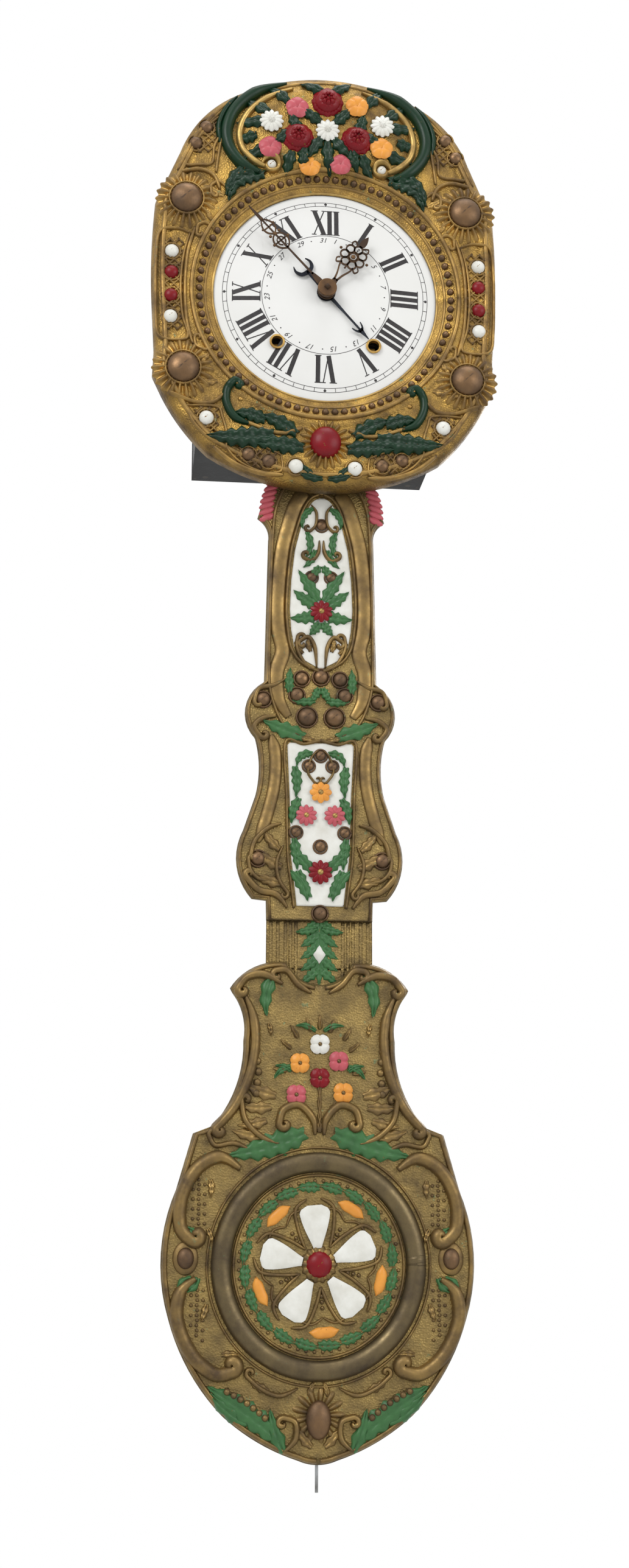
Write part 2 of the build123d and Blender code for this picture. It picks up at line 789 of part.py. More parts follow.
# Anchor on its arbor, with its pallets just clear of the escape wheel's tips
anchor_drop = pendulum_pivot_z - escape_z
pallet_circle = escape_radius + pallet_clearance
half_span = degrees(asin(sqrt(1 - (pallet_circle / anchor_drop) ** 2)))
with BuildPart() as anchor:
    extrude(disc(0, pendulum_pivot_z, rear_bar_out, pivot_radius), amount=bar_thickness + 1)
    extrude(
        disc(0, pendulum_pivot_z, rear_bar_face + sheet_gap, arbor_radius),
        amount=front_bar_face + 4 - rear_bar_face - sheet_gap,
    )
    with BuildSketch(facing(0, escape_z, escape_wheel_out - 1)):
        with BuildLine():
            CenterArc((0, 0), pallet_circle + 4.5, 90 - half_span, 2 * half_span)
        trace(line_width=5)
        with Locations((0, (anchor_drop + pallet_circle + 4.5) / 2)):
            Rectangle(7, anchor_drop - pallet_circle - 4.5)
        for side in (-1, 1):
            turn = radians(90 + side * half_span)
            with Locations(Location(((pallet_circle + 3.2) * cos(turn), (pallet_circle + 3.2) * sin(turn)),
                                    degrees(turn))):
                Rectangle(6, 4)
        with Locations((0, anchor_drop)):
            Circle(5.5)
    extrude(amount=wheel_thickness + 2)

# Crutch in front of the bars, with its pin through the leader
crutch_out = front_bar_face + 0.6
crutch_length = 36
crutch_pin_radius = 1.2
with BuildPart() as crutch:
    with BuildSketch(facing(0, pendulum_pivot_z, crutch_out)):
        Circle(5)
        with Locations((0, -crutch_length / 2)):
            Rectangle(5, crutch_length)
        with Locations((0, -crutch_length)):
            Circle(4)
        Circle(arbor_radius + tight_clearance, mode=Mode.SUBTRACT)
    extrude(amount=2)
    extrude(
        disc(0, pendulum_pivot_z - crutch_length, crutch_out, crutch_pin_radius),
        amount=pendulum_out + 1.5 - crutch_out,
    )

# Strike train above its barrel
with BuildPart() as pin_wheel_arbor:
    strike_pinion = gear(
        strike_x, pin_wheel_z, strike_wheel_out - 3, strike_pinion_leaves, strike_module, strike_pinion_phase
    )
    add(plain_arbor(strike_x, pin_wheel_z, strike_wheel_out - 3, strike_pinion, great_wheel_thickness + 6))

with BuildPart() as pin_wheel:
    add(train_wheel(strike_x, pin_wheel_z, pin_wheel_out, pin_wheel_teeth, pin_module, 90))
    with BuildSketch(facing(strike_x, pin_wheel_z, pin_wheel_out)):
        with PolarLocations(lifting_pin_circle, lifting_pins, start_angle=22.5):
            Circle(lifting_pin_radius)
    extrude(amount=-lifting_pin_length)

with BuildPart() as warning_arbor:
    warning_pinion = gear(
        strike_x, warning_z, pin_wheel_out - 4, warning_pinion_leaves, pin_module, warning_pinion_phase
    )
    add(plain_arbor(strike_x, warning_z, pin_wheel_out - 4, warning_pinion, 10))

with BuildPart() as warning_wheel:
    add(train_wheel(strike_x, warning_z, warning_wheel_out, warning_teeth, warning_module, 90))

with BuildPart() as fly_arbor:
    fly_pinion = gear(
        strike_x, fly_z, warning_wheel_out - 4, fly_pinion_leaves, warning_module, fly_pinion_phase
    )
    add(plain_arbor(strike_x, fly_z, warning_wheel_out - 4, fly_pinion, 10))

with BuildPart() as fly:
    with BuildSketch(facing(strike_x, fly_z, fly_out)):
        Circle(4)
        Rectangle(2 * fly_radius, 1.2)
        Circle(arbor_radius + tight_clearance, mode=Mode.SUBTRACT)
    extrude(amount=fly_length)

# Motion work behind the dial plate
with BuildPart() as cannon_pinion:
    cannon_bore = arbor_radius + running_clearance
    extrude(
        gear(0, 0, cannon_out, cannon_teeth, cannon_module, motion_direction, cannon_bore),
        amount=wheel_thickness + 1,
    )
    extrude(disc(0, 0, cannon_out, cannon_pipe_radius, cannon_bore), amount=minute_hand_out + 2 - cannon_out)

with BuildPart() as minute_wheel:
    stud_bore = pivot_radius + running_clearance
    extrude(
        gear(motion_x, motion_z, cannon_out, minute_wheel_teeth, cannon_module, minute_wheel_phase, stud_bore),
        amount=wheel_thickness,
    )
    extrude(
        gear(motion_x, motion_z, cannon_out, minute_pinion_leaves, hour_module, motion_direction + 180,
             stud_bore),
        amount=hour_wheel_out + wheel_thickness + 1 - cannon_out,
    )

with BuildPart() as motion_stud:
    extrude(
        disc(motion_x, motion_z, cannon_out - 1, pivot_radius), amount=dial_plate_out - cannon_out + 1
    )
    extrude(disc(motion_x, motion_z, cannon_out - 2, pivot_radius + 1.5), amount=1.6)

with BuildPart() as hour_wheel:
    hour_bore = cannon_pipe_radius + running_clearance
    extrude(
        gear(0, 0, hour_wheel_out, hour_wheel_teeth, hour_module, hour_phase, hour_bore),
        amount=wheel_thickness - 0.5,
    )
    extrude(disc(0, 0, hour_wheel_out, hour_pipe_radius, hour_bore), amount=hour_hand_out + 2 - hour_wheel_out)

with BuildPart() as calendar_wheel:
    calendar_bore = hour_pipe_radius + running_clearance
    extrude(
        gear(0, 0, calendar_wheel_out, calendar_teeth, calendar_module, 0, calendar_bore),
        amount=wheel_thickness - 1,
    )
    extrude(
        disc(0, 0, calendar_wheel_out, calendar_pipe_radius, calendar_bore),
        amount=calendar_hand_out + 2 - calendar_wheel_out,
    )

# Dial plate on four posts from the front pillars
post_x = front_pillar_x
post_z = 104
post_radius = 3.5
with BuildPart() as dial_plate:
    with BuildSketch(facing(0, 0, dial_plate_out)):
        with Locations((0, (dial_plate_top + dial_plate_bottom) / 2)):
            RectangleRounded(case_width, dial_plate_top - dial_plate_bottom, 12)
        Circle(calendar_pipe_radius + running_clearance, mode=Mode.SUBTRACT)
        with Locations((winding_hole_x, winding_hole_z), (strike_x, winding_hole_z)):
            Circle(winding_hole_radius + 2, mode=Mode.SUBTRACT)
        for x in (-fixing_pin_x, fixing_pin_x):
            with Locations((x, fixing_pin_top), (x, fixing_pin_bottom)):
                Circle(fixing_pin_radius + running_clearance, mode=Mode.SUBTRACT)
    extrude(amount=dial_plate_sheet)

with BuildPart() as plate_posts:
    pillar_face = front_pillar_out + pillar_size / 2
    with BuildSketch(facing(0, 0, pillar_face)):
        with GridLocations(2 * post_x, 2 * post_z, 2, 2):
            Circle(post_radius)
    extrude(amount=dial_plate_out - pillar_face)

# Enamel dial: a domed disc with a flat rim, on three feet
dome_sphere = (dial_sight_radius ** 2 + dial_dome ** 2) / (2 * dial_dome)
with BuildPart() as dial_form:
    with BuildSketch(Plane.XZ):
        with BuildLine():
            Line((dial_radius, -dial_thickness), (dial_radius, 0))
            Line((dial_radius, 0), (dial_sight_radius, 0))
            RadiusArc((dial_sight_radius, 0), (0, dial_dome), -dome_sphere)
            Line((0, dial_dome), (0, dial_dome - dial_thickness))
            RadiusArc((0, dial_dome - dial_thickness), (dial_sight_radius, -dial_thickness), dome_sphere)
            Line((dial_sight_radius, -dial_thickness), (dial_radius, -dial_thickness))
        make_face()
    revolve(axis=Axis.Z)
with BuildPart() as dial:
    add(Pos(0, -dial_out, 0) * Rot(90, 0, 0) * dial_form.part)
    with BuildSketch(facing(0, 0, dial_plate_out)):
        Circle(calendar_pipe_radius + 1.5)
        with Locations((winding_hole_x, winding_hole_z), (strike_x, winding_hole_z)):
            Circle(winding_hole_radius)
    extrude(amount=dial_out + dial_dome - dial_plate_out, mode=Mode.SUBTRACT)
    with BuildSketch(facing(0, 0, dial_plate_out + dial_plate_sheet)):
        with PolarLocations(dial_radius - 2.5, 3, start_angle=90):
            Circle(2)
    extrude(amount=dial_out - dial_thickness - dial_plate_out - dial_plate_sheet)

# Winding-hole grommets, seated on the dome and sleeved through the dial
hole_reach = sqrt(winding_hole_x ** 2 + winding_hole_z ** 2)
dome_at_outer = sqrt(dome_sphere ** 2 - (hole_reach - grommet_radius) ** 2) - (dome_sphere - dial_dome)
grommet_seat = dial_out + dome_at_outer + 0.05
with BuildPart() as winding_grommets:
    for x in (strike_x, winding_hole_x):
        extrude(
            disc(x, winding_hole_z, grommet_seat, grommet_radius, grommet_hole_radius),
            amount=grommet_proud + 0.4,
        )
        extrude(
            disc(x, winding_hole_z, grommet_seat, winding_hole_radius - running_clearance, grommet_hole_radius),
            amount=-dial_thickness - 1.5,
        )
    fillet(winding_grommets.faces().filter_by(Axis.Y).sort_by(Axis.Y)[0:2].edges(), radius=0.4)

# Head outline, right side, as runs between its corners
head_runs = [
    [(0, 235.5), (88, 213)],
    [(88, 213), (122, 186), (143, 148)],
    [(143, 148), (166, 92)],
    [(166, 92), (168.5, 35), (166.5, -20)],
    [(166.5, -20), (164, -60)],
    [(164, -60), (165, -86)],
    [(165, -86), (156, -105)],
    [(156, -105), (134, -140), (111, -165)],
    [(111, -165), (0, -196.7)],
]

crest_runs = [
    [(0, 226), (58, 212)],
    [(58, 212), (84, 178), (62, 142)],
    [(62, 142), (0, 127)],
]

# Flowers of the crest as x, z, radius and height
crest_flowers = [
    (0, 200, 15, 12), (-29, 160, 15, 12), (29, 160, 15, 12), (-55, 175, 11, 9), (0, 168, 11, 9),
    (53, 175, 11, 9), (-30, 192, 11, 9), (-55, 149, 11, 9), (13, 133, 11, 8), (30, 196, 11, 9),
    (-16, 132, 11, 8), (53, 152, 11, 9),
]
low_bosses = [(0, -152, 15, 12), (-27, -178, 8, 5), (27, -178, 8, 5), (-53, -175, 6, 4), (53, -175, 6, 4),
              (-72, -169, 6, 4), (72, -169, 6, 4), (-115, -134, 7, 5), (115, -134, 7, 5)]
side_bosses = [(side * 149, z, 6, 4) for side in (-1, 1) for z in (36, 14, -10, -32)]
top_bosses = [(side * x, z, 5, 3) for side in (-1, 1) for x, z in ((118, 170), (128, 152))]
head_bosses = low_bosses + side_bosses + top_bosses

# The dial's opening: a recess for its rim, a lip, and the slope up to the head's face
recess_radius = dial_radius + loose_clearance
with BuildPart() as dial_opening:
    with BuildSketch(Plane.XY):
        with BuildLine():
            Polyline(
                (0, -head_back_out + 1), (recess_radius, -head_back_out + 1), (recess_radius, -dial_out),
                (dial_sight_radius, -dial_out), (dial_sight_radius, -dial_out - lip_thickness),
                (opening_radius, -head_face_out), (opening_radius, -head_face_out - 20),
                (0, -head_face_out - 20),
                close=True,
            )
        make_face()
    revolve(axis=Axis.Y)

bead_out = dial_out + lip_thickness + (head_face_out - dial_out - lip_thickness) * (
    (bead_circle - dial_sight_radius) / (opening_radius - dial_sight_radius)
)
with BuildPart() as bead_ring:
    with BuildSketch(Plane.XY):
        with Locations((bead_circle, -bead_out)):
            Circle(bead_radius)
    revolve(axis=Axis.Y)

# Raised ground of the crest, under its flowers
with BuildPart() as crest_mound:
    extrude(mirrored_face(head_face_out - 1, *crest_runs), amount=crest_height + 1)
    fillet(crest_mound.faces().sort_by(Axis.Y)[0].edges(), radius=crest_height - 2)

pocket_rear = dial_plate_out + dial_plate_sheet
with BuildPart() as surround:
    extrude(mirrored_face(head_back_out, *head_runs), amount=head_face_out - head_back_out)
    fillet(surround.faces().sort_by(Axis.Y)[0].edges(), radius=head_edge_round)
    extrude(
        mirrored_face(head_back_out, *head_runs, inset=head_rim_width),
        amount=pocket_rear - head_back_out,
        mode=Mode.SUBTRACT,
    )
    with BuildSketch(facing(0, 0, pocket_rear)):
        add(mirrored_face(pocket_rear, *head_runs, inset=head_rim_width))
        Circle(opening_radius + collar_wall, mode=Mode.SUBTRACT)
    extrude(amount=head_face_out - head_wall - pocket_rear, mode=Mode.SUBTRACT)
    add(crest_mound.part)
    for x, z, radius, height in crest_flowers:
        add(dome(x, z, head_face_out + crest_height - 1, radius, height))
    for x, z, radius, height in head_bosses:
        add(dome(x, z, head_face_out - 1, radius, height))
    for x in (-rosette_x, rosette_x):
        for z in (rosette_top, rosette_bottom):
            add(dome(x, z, head_face_out - head_wall, rosette_radius, rosette_rise))
            add(dome(x, z, head_face_out + 2, rosette_boss_radius, rosette_boss_rise))
    for x in (-fixing_pin_x, fixing_pin_x):
        for z in (fixing_pin_top, fixing_pin_bottom):
            extrude(
                disc(x, z, head_back_out, fixing_pin_radius + running_clearance),
                amount=head_face_out - head_back_out,
                mode=Mode.SUBTRACT,
            )
    add(dial_opening.part, mode=Mode.SUBTRACT)
    add(bead_ring.part)

# Pins that hold the head to the dial plate
with BuildPart() as surround_pins:
    for x in (-fixing_pin_x, fixing_pin_x):
        for z in (fixing_pin_top, fixing_pin_bottom):
            extrude(
                disc(x, z, dial_plate_out - 2, fixing_pin_radius),
                amount=head_face_out + 2 - dial_plate_out,
            )
            add(dome(x, z, head_face_out, 2.6, 1.8))

# Hands
def hand_plane(out, turn):
    """A sketch plane for a hand that points along its second axis, turned clockwise from twelve."""
    angle = radians(turn)
    return Plane(origin=(0, -out, 0), x_dir=(cos(angle), 0, -sin(angle)), z_dir=(0, -1, 0))


with BuildPart() as minute_hand:
    with BuildSketch(hand_plane(minute_hand_out, minute_hand_turn)):
        Circle(8)
        with BuildLine():
            Polyline((-3.2, 6), (-1.3, 55), (-1, 60), (1, 60), (1.3, 55), (3.2, 6), close=True)
        make_face()
        with Locations((0, 76)):
            Ellipse(8.5, 18)
            Ellipse(6.2, 15.6, mode=Mode.SUBTRACT)
            Rectangle(2.2, 34)
            Rectangle(15, 2.2)
        with BuildLine():
            Polyline((-2.6, 93), (0, minute_hand_length), (2.6, 93), close=True)
        make_face()
        Circle(cannon_pipe_radius + tight_clearance, mode=Mode.SUBTRACT)
    extrude(amount=hand_sheet)

with BuildPart() as hour_hand:
    with BuildSketch(hand_plane(hour_hand_out, hour_hand_turn)):
        Circle(8.5)
        with BuildLine():
            Polyline((-3, 6), (-1.2, 31), (1.2, 31), (3, 6), close=True)
        make_face()
        with Locations((0, 46)):
            Circle(16)
            Circle(13.6, mode=Mode.SUBTRACT)
            Rectangle(2.2, 30)
            Rectangle(30, 2.2)
            Circle(6)
            Circle(4, mode=Mode.SUBTRACT)
        with BuildLine():
            Polyline((-3.4, 60), (0, hour_hand_length), (3.4, 60), close=True)
        make_face()
        Circle(hour_pipe_radius + tight_clearance, mode=Mode.SUBTRACT)
    extrude(amount=hand_sheet)

with BuildPart() as calendar_hand:
    with BuildSketch(hand_plane(calendar_hand_out, calendar_hand_turn)):
        Circle(9)
        with BuildLine():
            Polyline((-2, 6), (-1.1, 38), (-4.5, 34), (-1.2, 48), (0, calendar_hand_length),
                     (1.2, 48), (4.5, 34), (1.1, 38), (2, 6), close=True)
        make_face()
        Rectangle(2.4, 2 * (calendar_tail_length - 9))
        with Locations((0, -calendar_tail_length + 3)):
            Circle(9)
        with Locations((0, -calendar_tail_length - 1.5)):
            Circle(7, mode=Mode.SUBTRACT)
        Circle(calendar_pipe_radius + tight_clearance, mode=Mode.SUBTRACT)
    extrude(amount=hand_sheet)

with BuildPart() as hand_nut:
    nut_back = minute_hand_out + 2 + loose_clearance
    extrude(
        disc(0, 0, nut_back, hand_nut_radius, arbor_radius + tight_clearance),
        amount=hand_nut_front - nut_back,
    )
    fillet(hand_nut.edges().sort_by(Axis.Y)[0], radius=1)

# Suspension cock on the middle front bar, slotted for the spring
cock_bottom = pendulum_pivot_z + 8
cock_depth = pendulum_out + 4 - front_bar_face
slot_swing = (spring_top - pendulum_pivot_z) * sin(radians(swing_limit))
with BuildPart() as suspension_cock:
    with BuildSketch(level(spring_top)):
        with Locations((0, front_bar_face + cock_depth / 2)):
            Rectangle(bar_width, cock_depth)
        with Locations((0, front_bar_face + cock_depth)):
            Rectangle(spring_thickness + 2 * slot_swing + 0.6, 2 * spring_width + 3, mode=Mode.SUBTRACT)
    extrude(amount=spring_top - cock_bottom)

spring_out = pendulum_out - leader_thickness / 2
with BuildPart() as suspension_spring:
    with BuildSketch(level(spring_top + loose_clearance)):
        with Locations((0, spring_out)):
            Rectangle(spring_thickness, spring_width)
    extrude(amount=spring_top + loose_clearance - chop_top)
    with BuildSketch(level(spring_top + loose_clearance + 3)):
        with Locations((0, spring_out)):
            Rectangle(bar_width - 4, spring_width)
    extrude(amount=3)

# Leader: the strap from the spring down to the pendulum, with a loop round the centre arbor
crutch_hole_z = pendulum_pivot_z - crutch_length
with BuildPart() as pendulum_leader:
    with BuildSketch(facing(0, 0, pendulum_out - leader_thickness)):
        with Locations((0, (chop_top + leader_bottom) / 2)):
            Rectangle(leader_width, chop_top - leader_bottom)
        with Locations((0, crutch_hole_z)):
            Circle(leader_width / 2 + 2)
        Ellipse(loop_half_width + loop_band, loop_half_height + loop_band)
        Ellipse(loop_half_width, loop_half_height, mode=Mode.SUBTRACT)
        with Locations((0, crutch_hole_z)):
            Circle(crutch_pin_radius + running_clearance, mode=Mode.SUBTRACT)
    extrude(amount=leader_thickness)
    with BuildSketch(level(chop_top)):
        with Locations((0, spring_out)):
            Rectangle(leader_width, spring_width)
    extrude(amount=7)

# Upper plate outline, right side, as runs between its corners
upper_runs = [
    [(0, plate_top), (48, plate_top)],
    [(48, plate_top), (52, -185)],
    [(52, -185), (61, -218)],
    [(61, -218), (53, -226), (50.5, -240)],
    [(50.5, -240), (53, -380)],
    [(53, -380), (70.6, -408), (61, -434)],
    [(61, -434), (57, -460), (60, -489)],
    [(60, -489), (71, -522)],
    [(71, -522), (76.8, -553), (62, -586)],
    [(62, -586), (49.3, -586)],
    [(49.3, -586), (foot_half_width, foot_shoulder)],
    [(foot_half_width, foot_shoulder), (tongue_half_width, foot_shoulder)],
    [(tongue_half_width, foot_shoulder), (tongue_half_width, foot_bottom)],
    [(tongue_half_width, foot_bottom), (0, foot_bottom)],
]
arch_runs = [
    [(0, -196), (14, -210)],
    [(14, -210), (25, -250), (29.5, -309)],
    [(29.5, -309), (25, -346)],
    [(25, -346), (0, -367)],
]
lower_panel_runs = [
    [(0, -438), (20, -443)],
    [(20, -443), (31, -440)],
    [(31, -440), (27, -545)],
    [(27, -545), (21.5, -593)],
    [(21.5, -593), (0, -593)],
]
upper_bosses = [(-52.4, -400, 6, 4), (52.4, -400, 6, 4), (-57.4, -549, 7, 5), (57.4, -549, 7, 5),
                (-13, -413, 10, 7), (13, -413, 10, 7), (-17, -375, 6, 4), (0, -374, 6, 4), (17, -375, 6, 4),
                (-22, -392, 6, 4), (22, -392, 6, 4), (0, -597, 6, 4), (0, -225, 8, 5), (0, -311, 10, 4),
                (0, -455, 6, 4), (-11, -466, 6, 4), (11, -466, 6, 4), (0, -491, 10, 4), (0, -561, 10, 4)]

with BuildPart() as upper_backing:
    extrude(mirrored_face(pendulum_out, *upper_runs, inset=1), amount=backing_sheet)
    with BuildSketch(facing(0, bob_pin_z, pendulum_out)):
        Circle(bob_pin_radius + running_clearance)
    extrude(amount=backing_sheet, mode=Mode.SUBTRACT)

upper_plate_out = pendulum_out + backing_sheet
upper_plate_face = upper_plate_out + plate_depth
with BuildPart() as upper_plate:
    extrude(mirrored_face(upper_plate_out, *upper_runs), amount=plate_depth)
    extrude(
        mirrored_face(upper_plate_out, *upper_runs, inset=plate_rim),
        amount=plate_depth - plate_wall,
        mode=Mode.SUBTRACT,
    )
    extrude(mirrored_face(upper_plate_face, *arch_runs, inset=-4), amount=2.5)
    extrude(mirrored_face(upper_plate_face + 1, *arch_runs), amount=1.5, mode=Mode.SUBTRACT)
    extrude(mirrored_face(upper_plate_face, *lower_panel_runs), amount=2)
    add([dome(x, z, upper_plate_face - 0.5, radius, height) for x, z, radius, height in upper_bosses])
    with BuildSketch(facing(0, foot_top, upper_plate_out + foot_depth)):
        Rectangle(4 * foot_half_width, foot_top - foot_bottom + plate_rim, align=(Align.CENTER, Align.MAX))
    extrude(amount=3 * plate_depth, mode=Mode.SUBTRACT)
    with BuildSketch(facing(0, foot_top, upper_plate_out)):
        Rectangle(2 * foot_half_width, foot_top - foot_shoulder, align=(Align.CENTER, Align.MAX))
        Rectangle(2 * tongue_half_width, foot_top - foot_bottom, align=(Align.CENTER, Align.MAX))
    extrude(amount=foot_depth)

# Bob outline, right side
bob_runs = [
    [(0, -664), (30, -644)],
    [(30, -644), (60, -649), (81.7, -669)],
    [(81.7, -669), (70, -690), (68.5, -715)],
    [(68.5, -715), (77, -762), (95, -791)],
    [(95, -791), (112, -797)],
    [(112, -797), (126, -846)],
    [(126, -846), (138.5, -905), (131, -956)],
    [(131, -956), (112, -1000), (83, -1037)],
    [(83, -1037), (50, -1060), (17, -1074)],
    [(17, -1074), (0, bob_bottom)],
]
bob_backing_out = upper_plate_out + foot_depth + sheet_gap
bob_plate_out = bob_backing_out + backing_sheet
bob_face_out = bob_plate_out + bob_depth
bob_bosses = [(0, -718, 9, 5), (-17, -733, 9, 5), (17, -733, 9, 5), (0, -747, 9, 5), (-19, -761, 9, 5),
              (19, -761, 9, 5), (-117, -905, 9, 6), (117, -905, 9, 6),
              (-49, -656, 9, 5), (49, -656, 9, 5), (0, -1040, 16, 5)]

with BuildPart() as bob_backing:
    extrude(mirrored_face(bob_backing_out, *bob_runs, inset=1.5), amount=backing_sheet)

# Ring round the middle of the bob, and the plate that carries it
ring_section = bob_ring_width / 2
with BuildPart() as bob_ring:
    with BuildSketch(Plane.XY.offset(bob_centre_z)):
        with Locations((bob_ring_radius - ring_section, -bob_face_out)):
            Ellipse(ring_section, bob_ring_height)
    revolve(axis=Axis((0, 0, bob_centre_z), (0, 1, 0)))

with BuildPart() as bob_plate:
    extrude(mirrored_face(bob_plate_out, *bob_runs), amount=bob_depth)
    fillet(bob_plate.faces().sort_by(Axis.Y)[0].edges(), radius=bob_edge_round)
    extrude(
        mirrored_face(bob_plate_out, *bob_runs, inset=plate_rim),
        amount=bob_depth - plate_wall,
        mode=Mode.SUBTRACT,
    )
    add(bob_ring.part)
    petals = []
    for petal in range(5):
        turn = radians(90 + 72 * petal)
        petals.append(dome(36 * cos(turn), bob_centre_z + 36 * sin(turn), bob_face_out - 0.5, 17, 4))
    add(petals)
    add(dome(0, bob_centre_z, bob_face_out, 12, 9))
    add([dome(x, z, bob_face_out - 0.5, radius, height) for x, z, radius, height in bob_bosses])

# Weight behind the bob, on the rating rod, and the nut that carries it
rod_out = pendulum_out - rod_radius - sheet_gap
with BuildPart() as bob_weight:
    extrude(disc(0, bob_centre_z, bob_backing_out - weight_thickness, weight_radius), amount=weight_thickness)
    with Locations((0, -rod_out, bob_centre_z)):
        Cylinder(rod_radius + weight_clearance, 3 * weight_radius, mode=Mode.SUBTRACT)

with BuildPart() as rating_rod:
    with Locations((0, -rod_out, rod_bottom)):
        Cylinder(
            rod_radius, bob_pin_z - eye_radius + 1 - rod_bottom,
            align=(Align.CENTER, Align.CENTER, Align.MIN),
        )
    extrude(
        disc(0, bob_pin_z, rod_out - eye_thickness / 2, eye_radius, bob_pin_radius + running_clearance),
        amount=eye_thickness,
    )

# Pin that carries the bob, riveted in the upper plate's backing behind its foot
pin_rear = rod_out - rod_radius - sheet_gap
with BuildPart() as bob_pin:
    extrude(disc(0, bob_pin_z, pin_rear, bob_pin_radius), amount=upper_plate_out - pin_rear)
    extrude(disc(0, bob_pin_z, pin_rear - bob_pin_head, bob_pin_radius + 2), amount=bob_pin_head)

nut_top = bob_centre_z - weight_radius - loose_clearance
with BuildPart() as rating_nut:
    with Locations((0, -rod_out, nut_top)):
        Cylinder(rating_nut_radius, rating_nut_height, align=(Align.CENTER, Align.CENTER, Align.MAX))
        Cylinder(rod_radius + running_clearance, 3 * rating_nut_height, mode=Mode.SUBTRACT)
        with PolarLocations(rating_nut_radius, 16):
            Cylinder(0.6, 3 * rating_nut_height, mode=Mode.SUBTRACT)

pieces = {
    "surround": surround, "surround_pins": surround_pins, "dial": dial,
    "winding_grommets": winding_grommets, "dial_plate": dial_plate, "plate_posts": plate_posts,
    "minute_hand": minute_hand, "hour_hand": hour_hand, "calendar_hand": calendar_hand, "hand_nut": hand_nut,
    "cage_top_plate": cage_top_plate, "cage_bottom_plate": cage_bottom_plate, "cage_pillars": cage_pillars,
    "front_bars": front_bars, "rear_bars": rear_bars, "back_plate": back_plate, "left_door": left_door,
    "right_door": right_door, "door_pintles": door_pintles, "wall_hanger": wall_hanger, "bell": bell,
    "bell_post": bell_post, "bell_nut": bell_nut, "hammer": hammer, "going_barrel": going_barrel,
    "going_great_wheel": going_great_wheel, "going_click": going_click, "centre_arbor": centre_arbor,
    "centre_wheel": centre_wheel, "third_arbor": third_arbor, "third_wheel": third_wheel,
    "escape_arbor": escape_arbor, "escape_wheel": escape_wheel, "anchor": anchor, "crutch": crutch,
    "strike_barrel": strike_barrel, "strike_great_wheel": strike_great_wheel, "strike_click": strike_click,
    "pin_wheel_arbor": pin_wheel_arbor, "pin_wheel": pin_wheel, "warning_arbor": warning_arbor,
    "warning_wheel": warning_wheel, "fly_arbor": fly_arbor, "fly": fly, "cannon_pinion": cannon_pinion,
    "minute_wheel": minute_wheel, "motion_stud": motion_stud, "hour_wheel": hour_wheel,
    "calendar_wheel": calendar_wheel, "suspension_cock": suspension_cock,
    "suspension_spring": suspension_spring, "pendulum_leader": pendulum_leader, "upper_plate": upper_plate,
    "upper_backing": upper_backing, "bob_plate": bob_plate, "bob_backing": bob_backing,
    "bob_weight": bob_weight, "bob_pin": bob_pin, "rating_rod": rating_rod, "rating_nut": rating_nut,
}
for name, piece in pieces.items():
    piece.part.label = name
    export_step(piece.part, f"parts/{name}.step")
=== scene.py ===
import json
from math import atan2, cos, degrees, hypot, pi, radians, sin, sqrt

import bmesh
import bpy
import numpy as np
from mathutils import Matrix, Vector


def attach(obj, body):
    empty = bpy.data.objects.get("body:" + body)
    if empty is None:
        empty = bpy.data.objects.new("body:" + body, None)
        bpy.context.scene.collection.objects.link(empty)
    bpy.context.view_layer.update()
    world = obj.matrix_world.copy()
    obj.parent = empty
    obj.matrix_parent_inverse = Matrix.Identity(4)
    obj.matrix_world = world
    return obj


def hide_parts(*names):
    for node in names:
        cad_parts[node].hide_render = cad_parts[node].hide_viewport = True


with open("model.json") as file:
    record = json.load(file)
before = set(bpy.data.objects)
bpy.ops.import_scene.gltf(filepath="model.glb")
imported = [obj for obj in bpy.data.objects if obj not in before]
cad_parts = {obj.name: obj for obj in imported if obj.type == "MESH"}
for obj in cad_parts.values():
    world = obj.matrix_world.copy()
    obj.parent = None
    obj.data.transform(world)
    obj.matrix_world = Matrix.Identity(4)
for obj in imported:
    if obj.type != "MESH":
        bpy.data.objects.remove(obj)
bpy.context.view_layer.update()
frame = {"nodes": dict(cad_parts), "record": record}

# Sizes here are in millimetres: x to the right, z up, and "out" towards the viewer from the wall.
MM = 0.001


def rgb(red, green, blue):
    """A screen colour, 0 to 255, as the linear colour that a shader takes."""
    channels = [c / 255 for c in (red, green, blue)]
    return tuple(c / 12.92 if c < 0.04 else ((c + 0.055) / 1.055) ** 2.4 for c in channels) + (1.0,)


class Wire:
    """One node output. Arithmetic on it adds the Math nodes."""

    def __init__(self, paint, socket):
        self.paint = paint
        self.socket = socket

    def maths(self, operation, first, second):
        return self.paint.node("ShaderNodeMath", {"operation": operation}, {0: first, 1: second})

    def __add__(self, other):
        return self.maths("ADD", self, other)

    __radd__ = __add__

    def __sub__(self, other):
        return self.maths("SUBTRACT", self, other)

    def __rsub__(self, other):
        return self.maths("SUBTRACT", other, self)

    def __mul__(self, other):
        return self.maths("MULTIPLY", self, other)

    __rmul__ = __mul__

    def above(self, edge, soft):
        """0 below the edge and 1 above it, with a soft step."""
        return self.paint.node(
            "ShaderNodeMapRange",
            {"interpolation_type": "SMOOTHSTEP"},
            {"Value": self, "From Min": edge - soft, "From Max": edge + soft},
        )

    def clamp(self):
        return self.paint.node("ShaderNodeClamp", {}, {0: self})


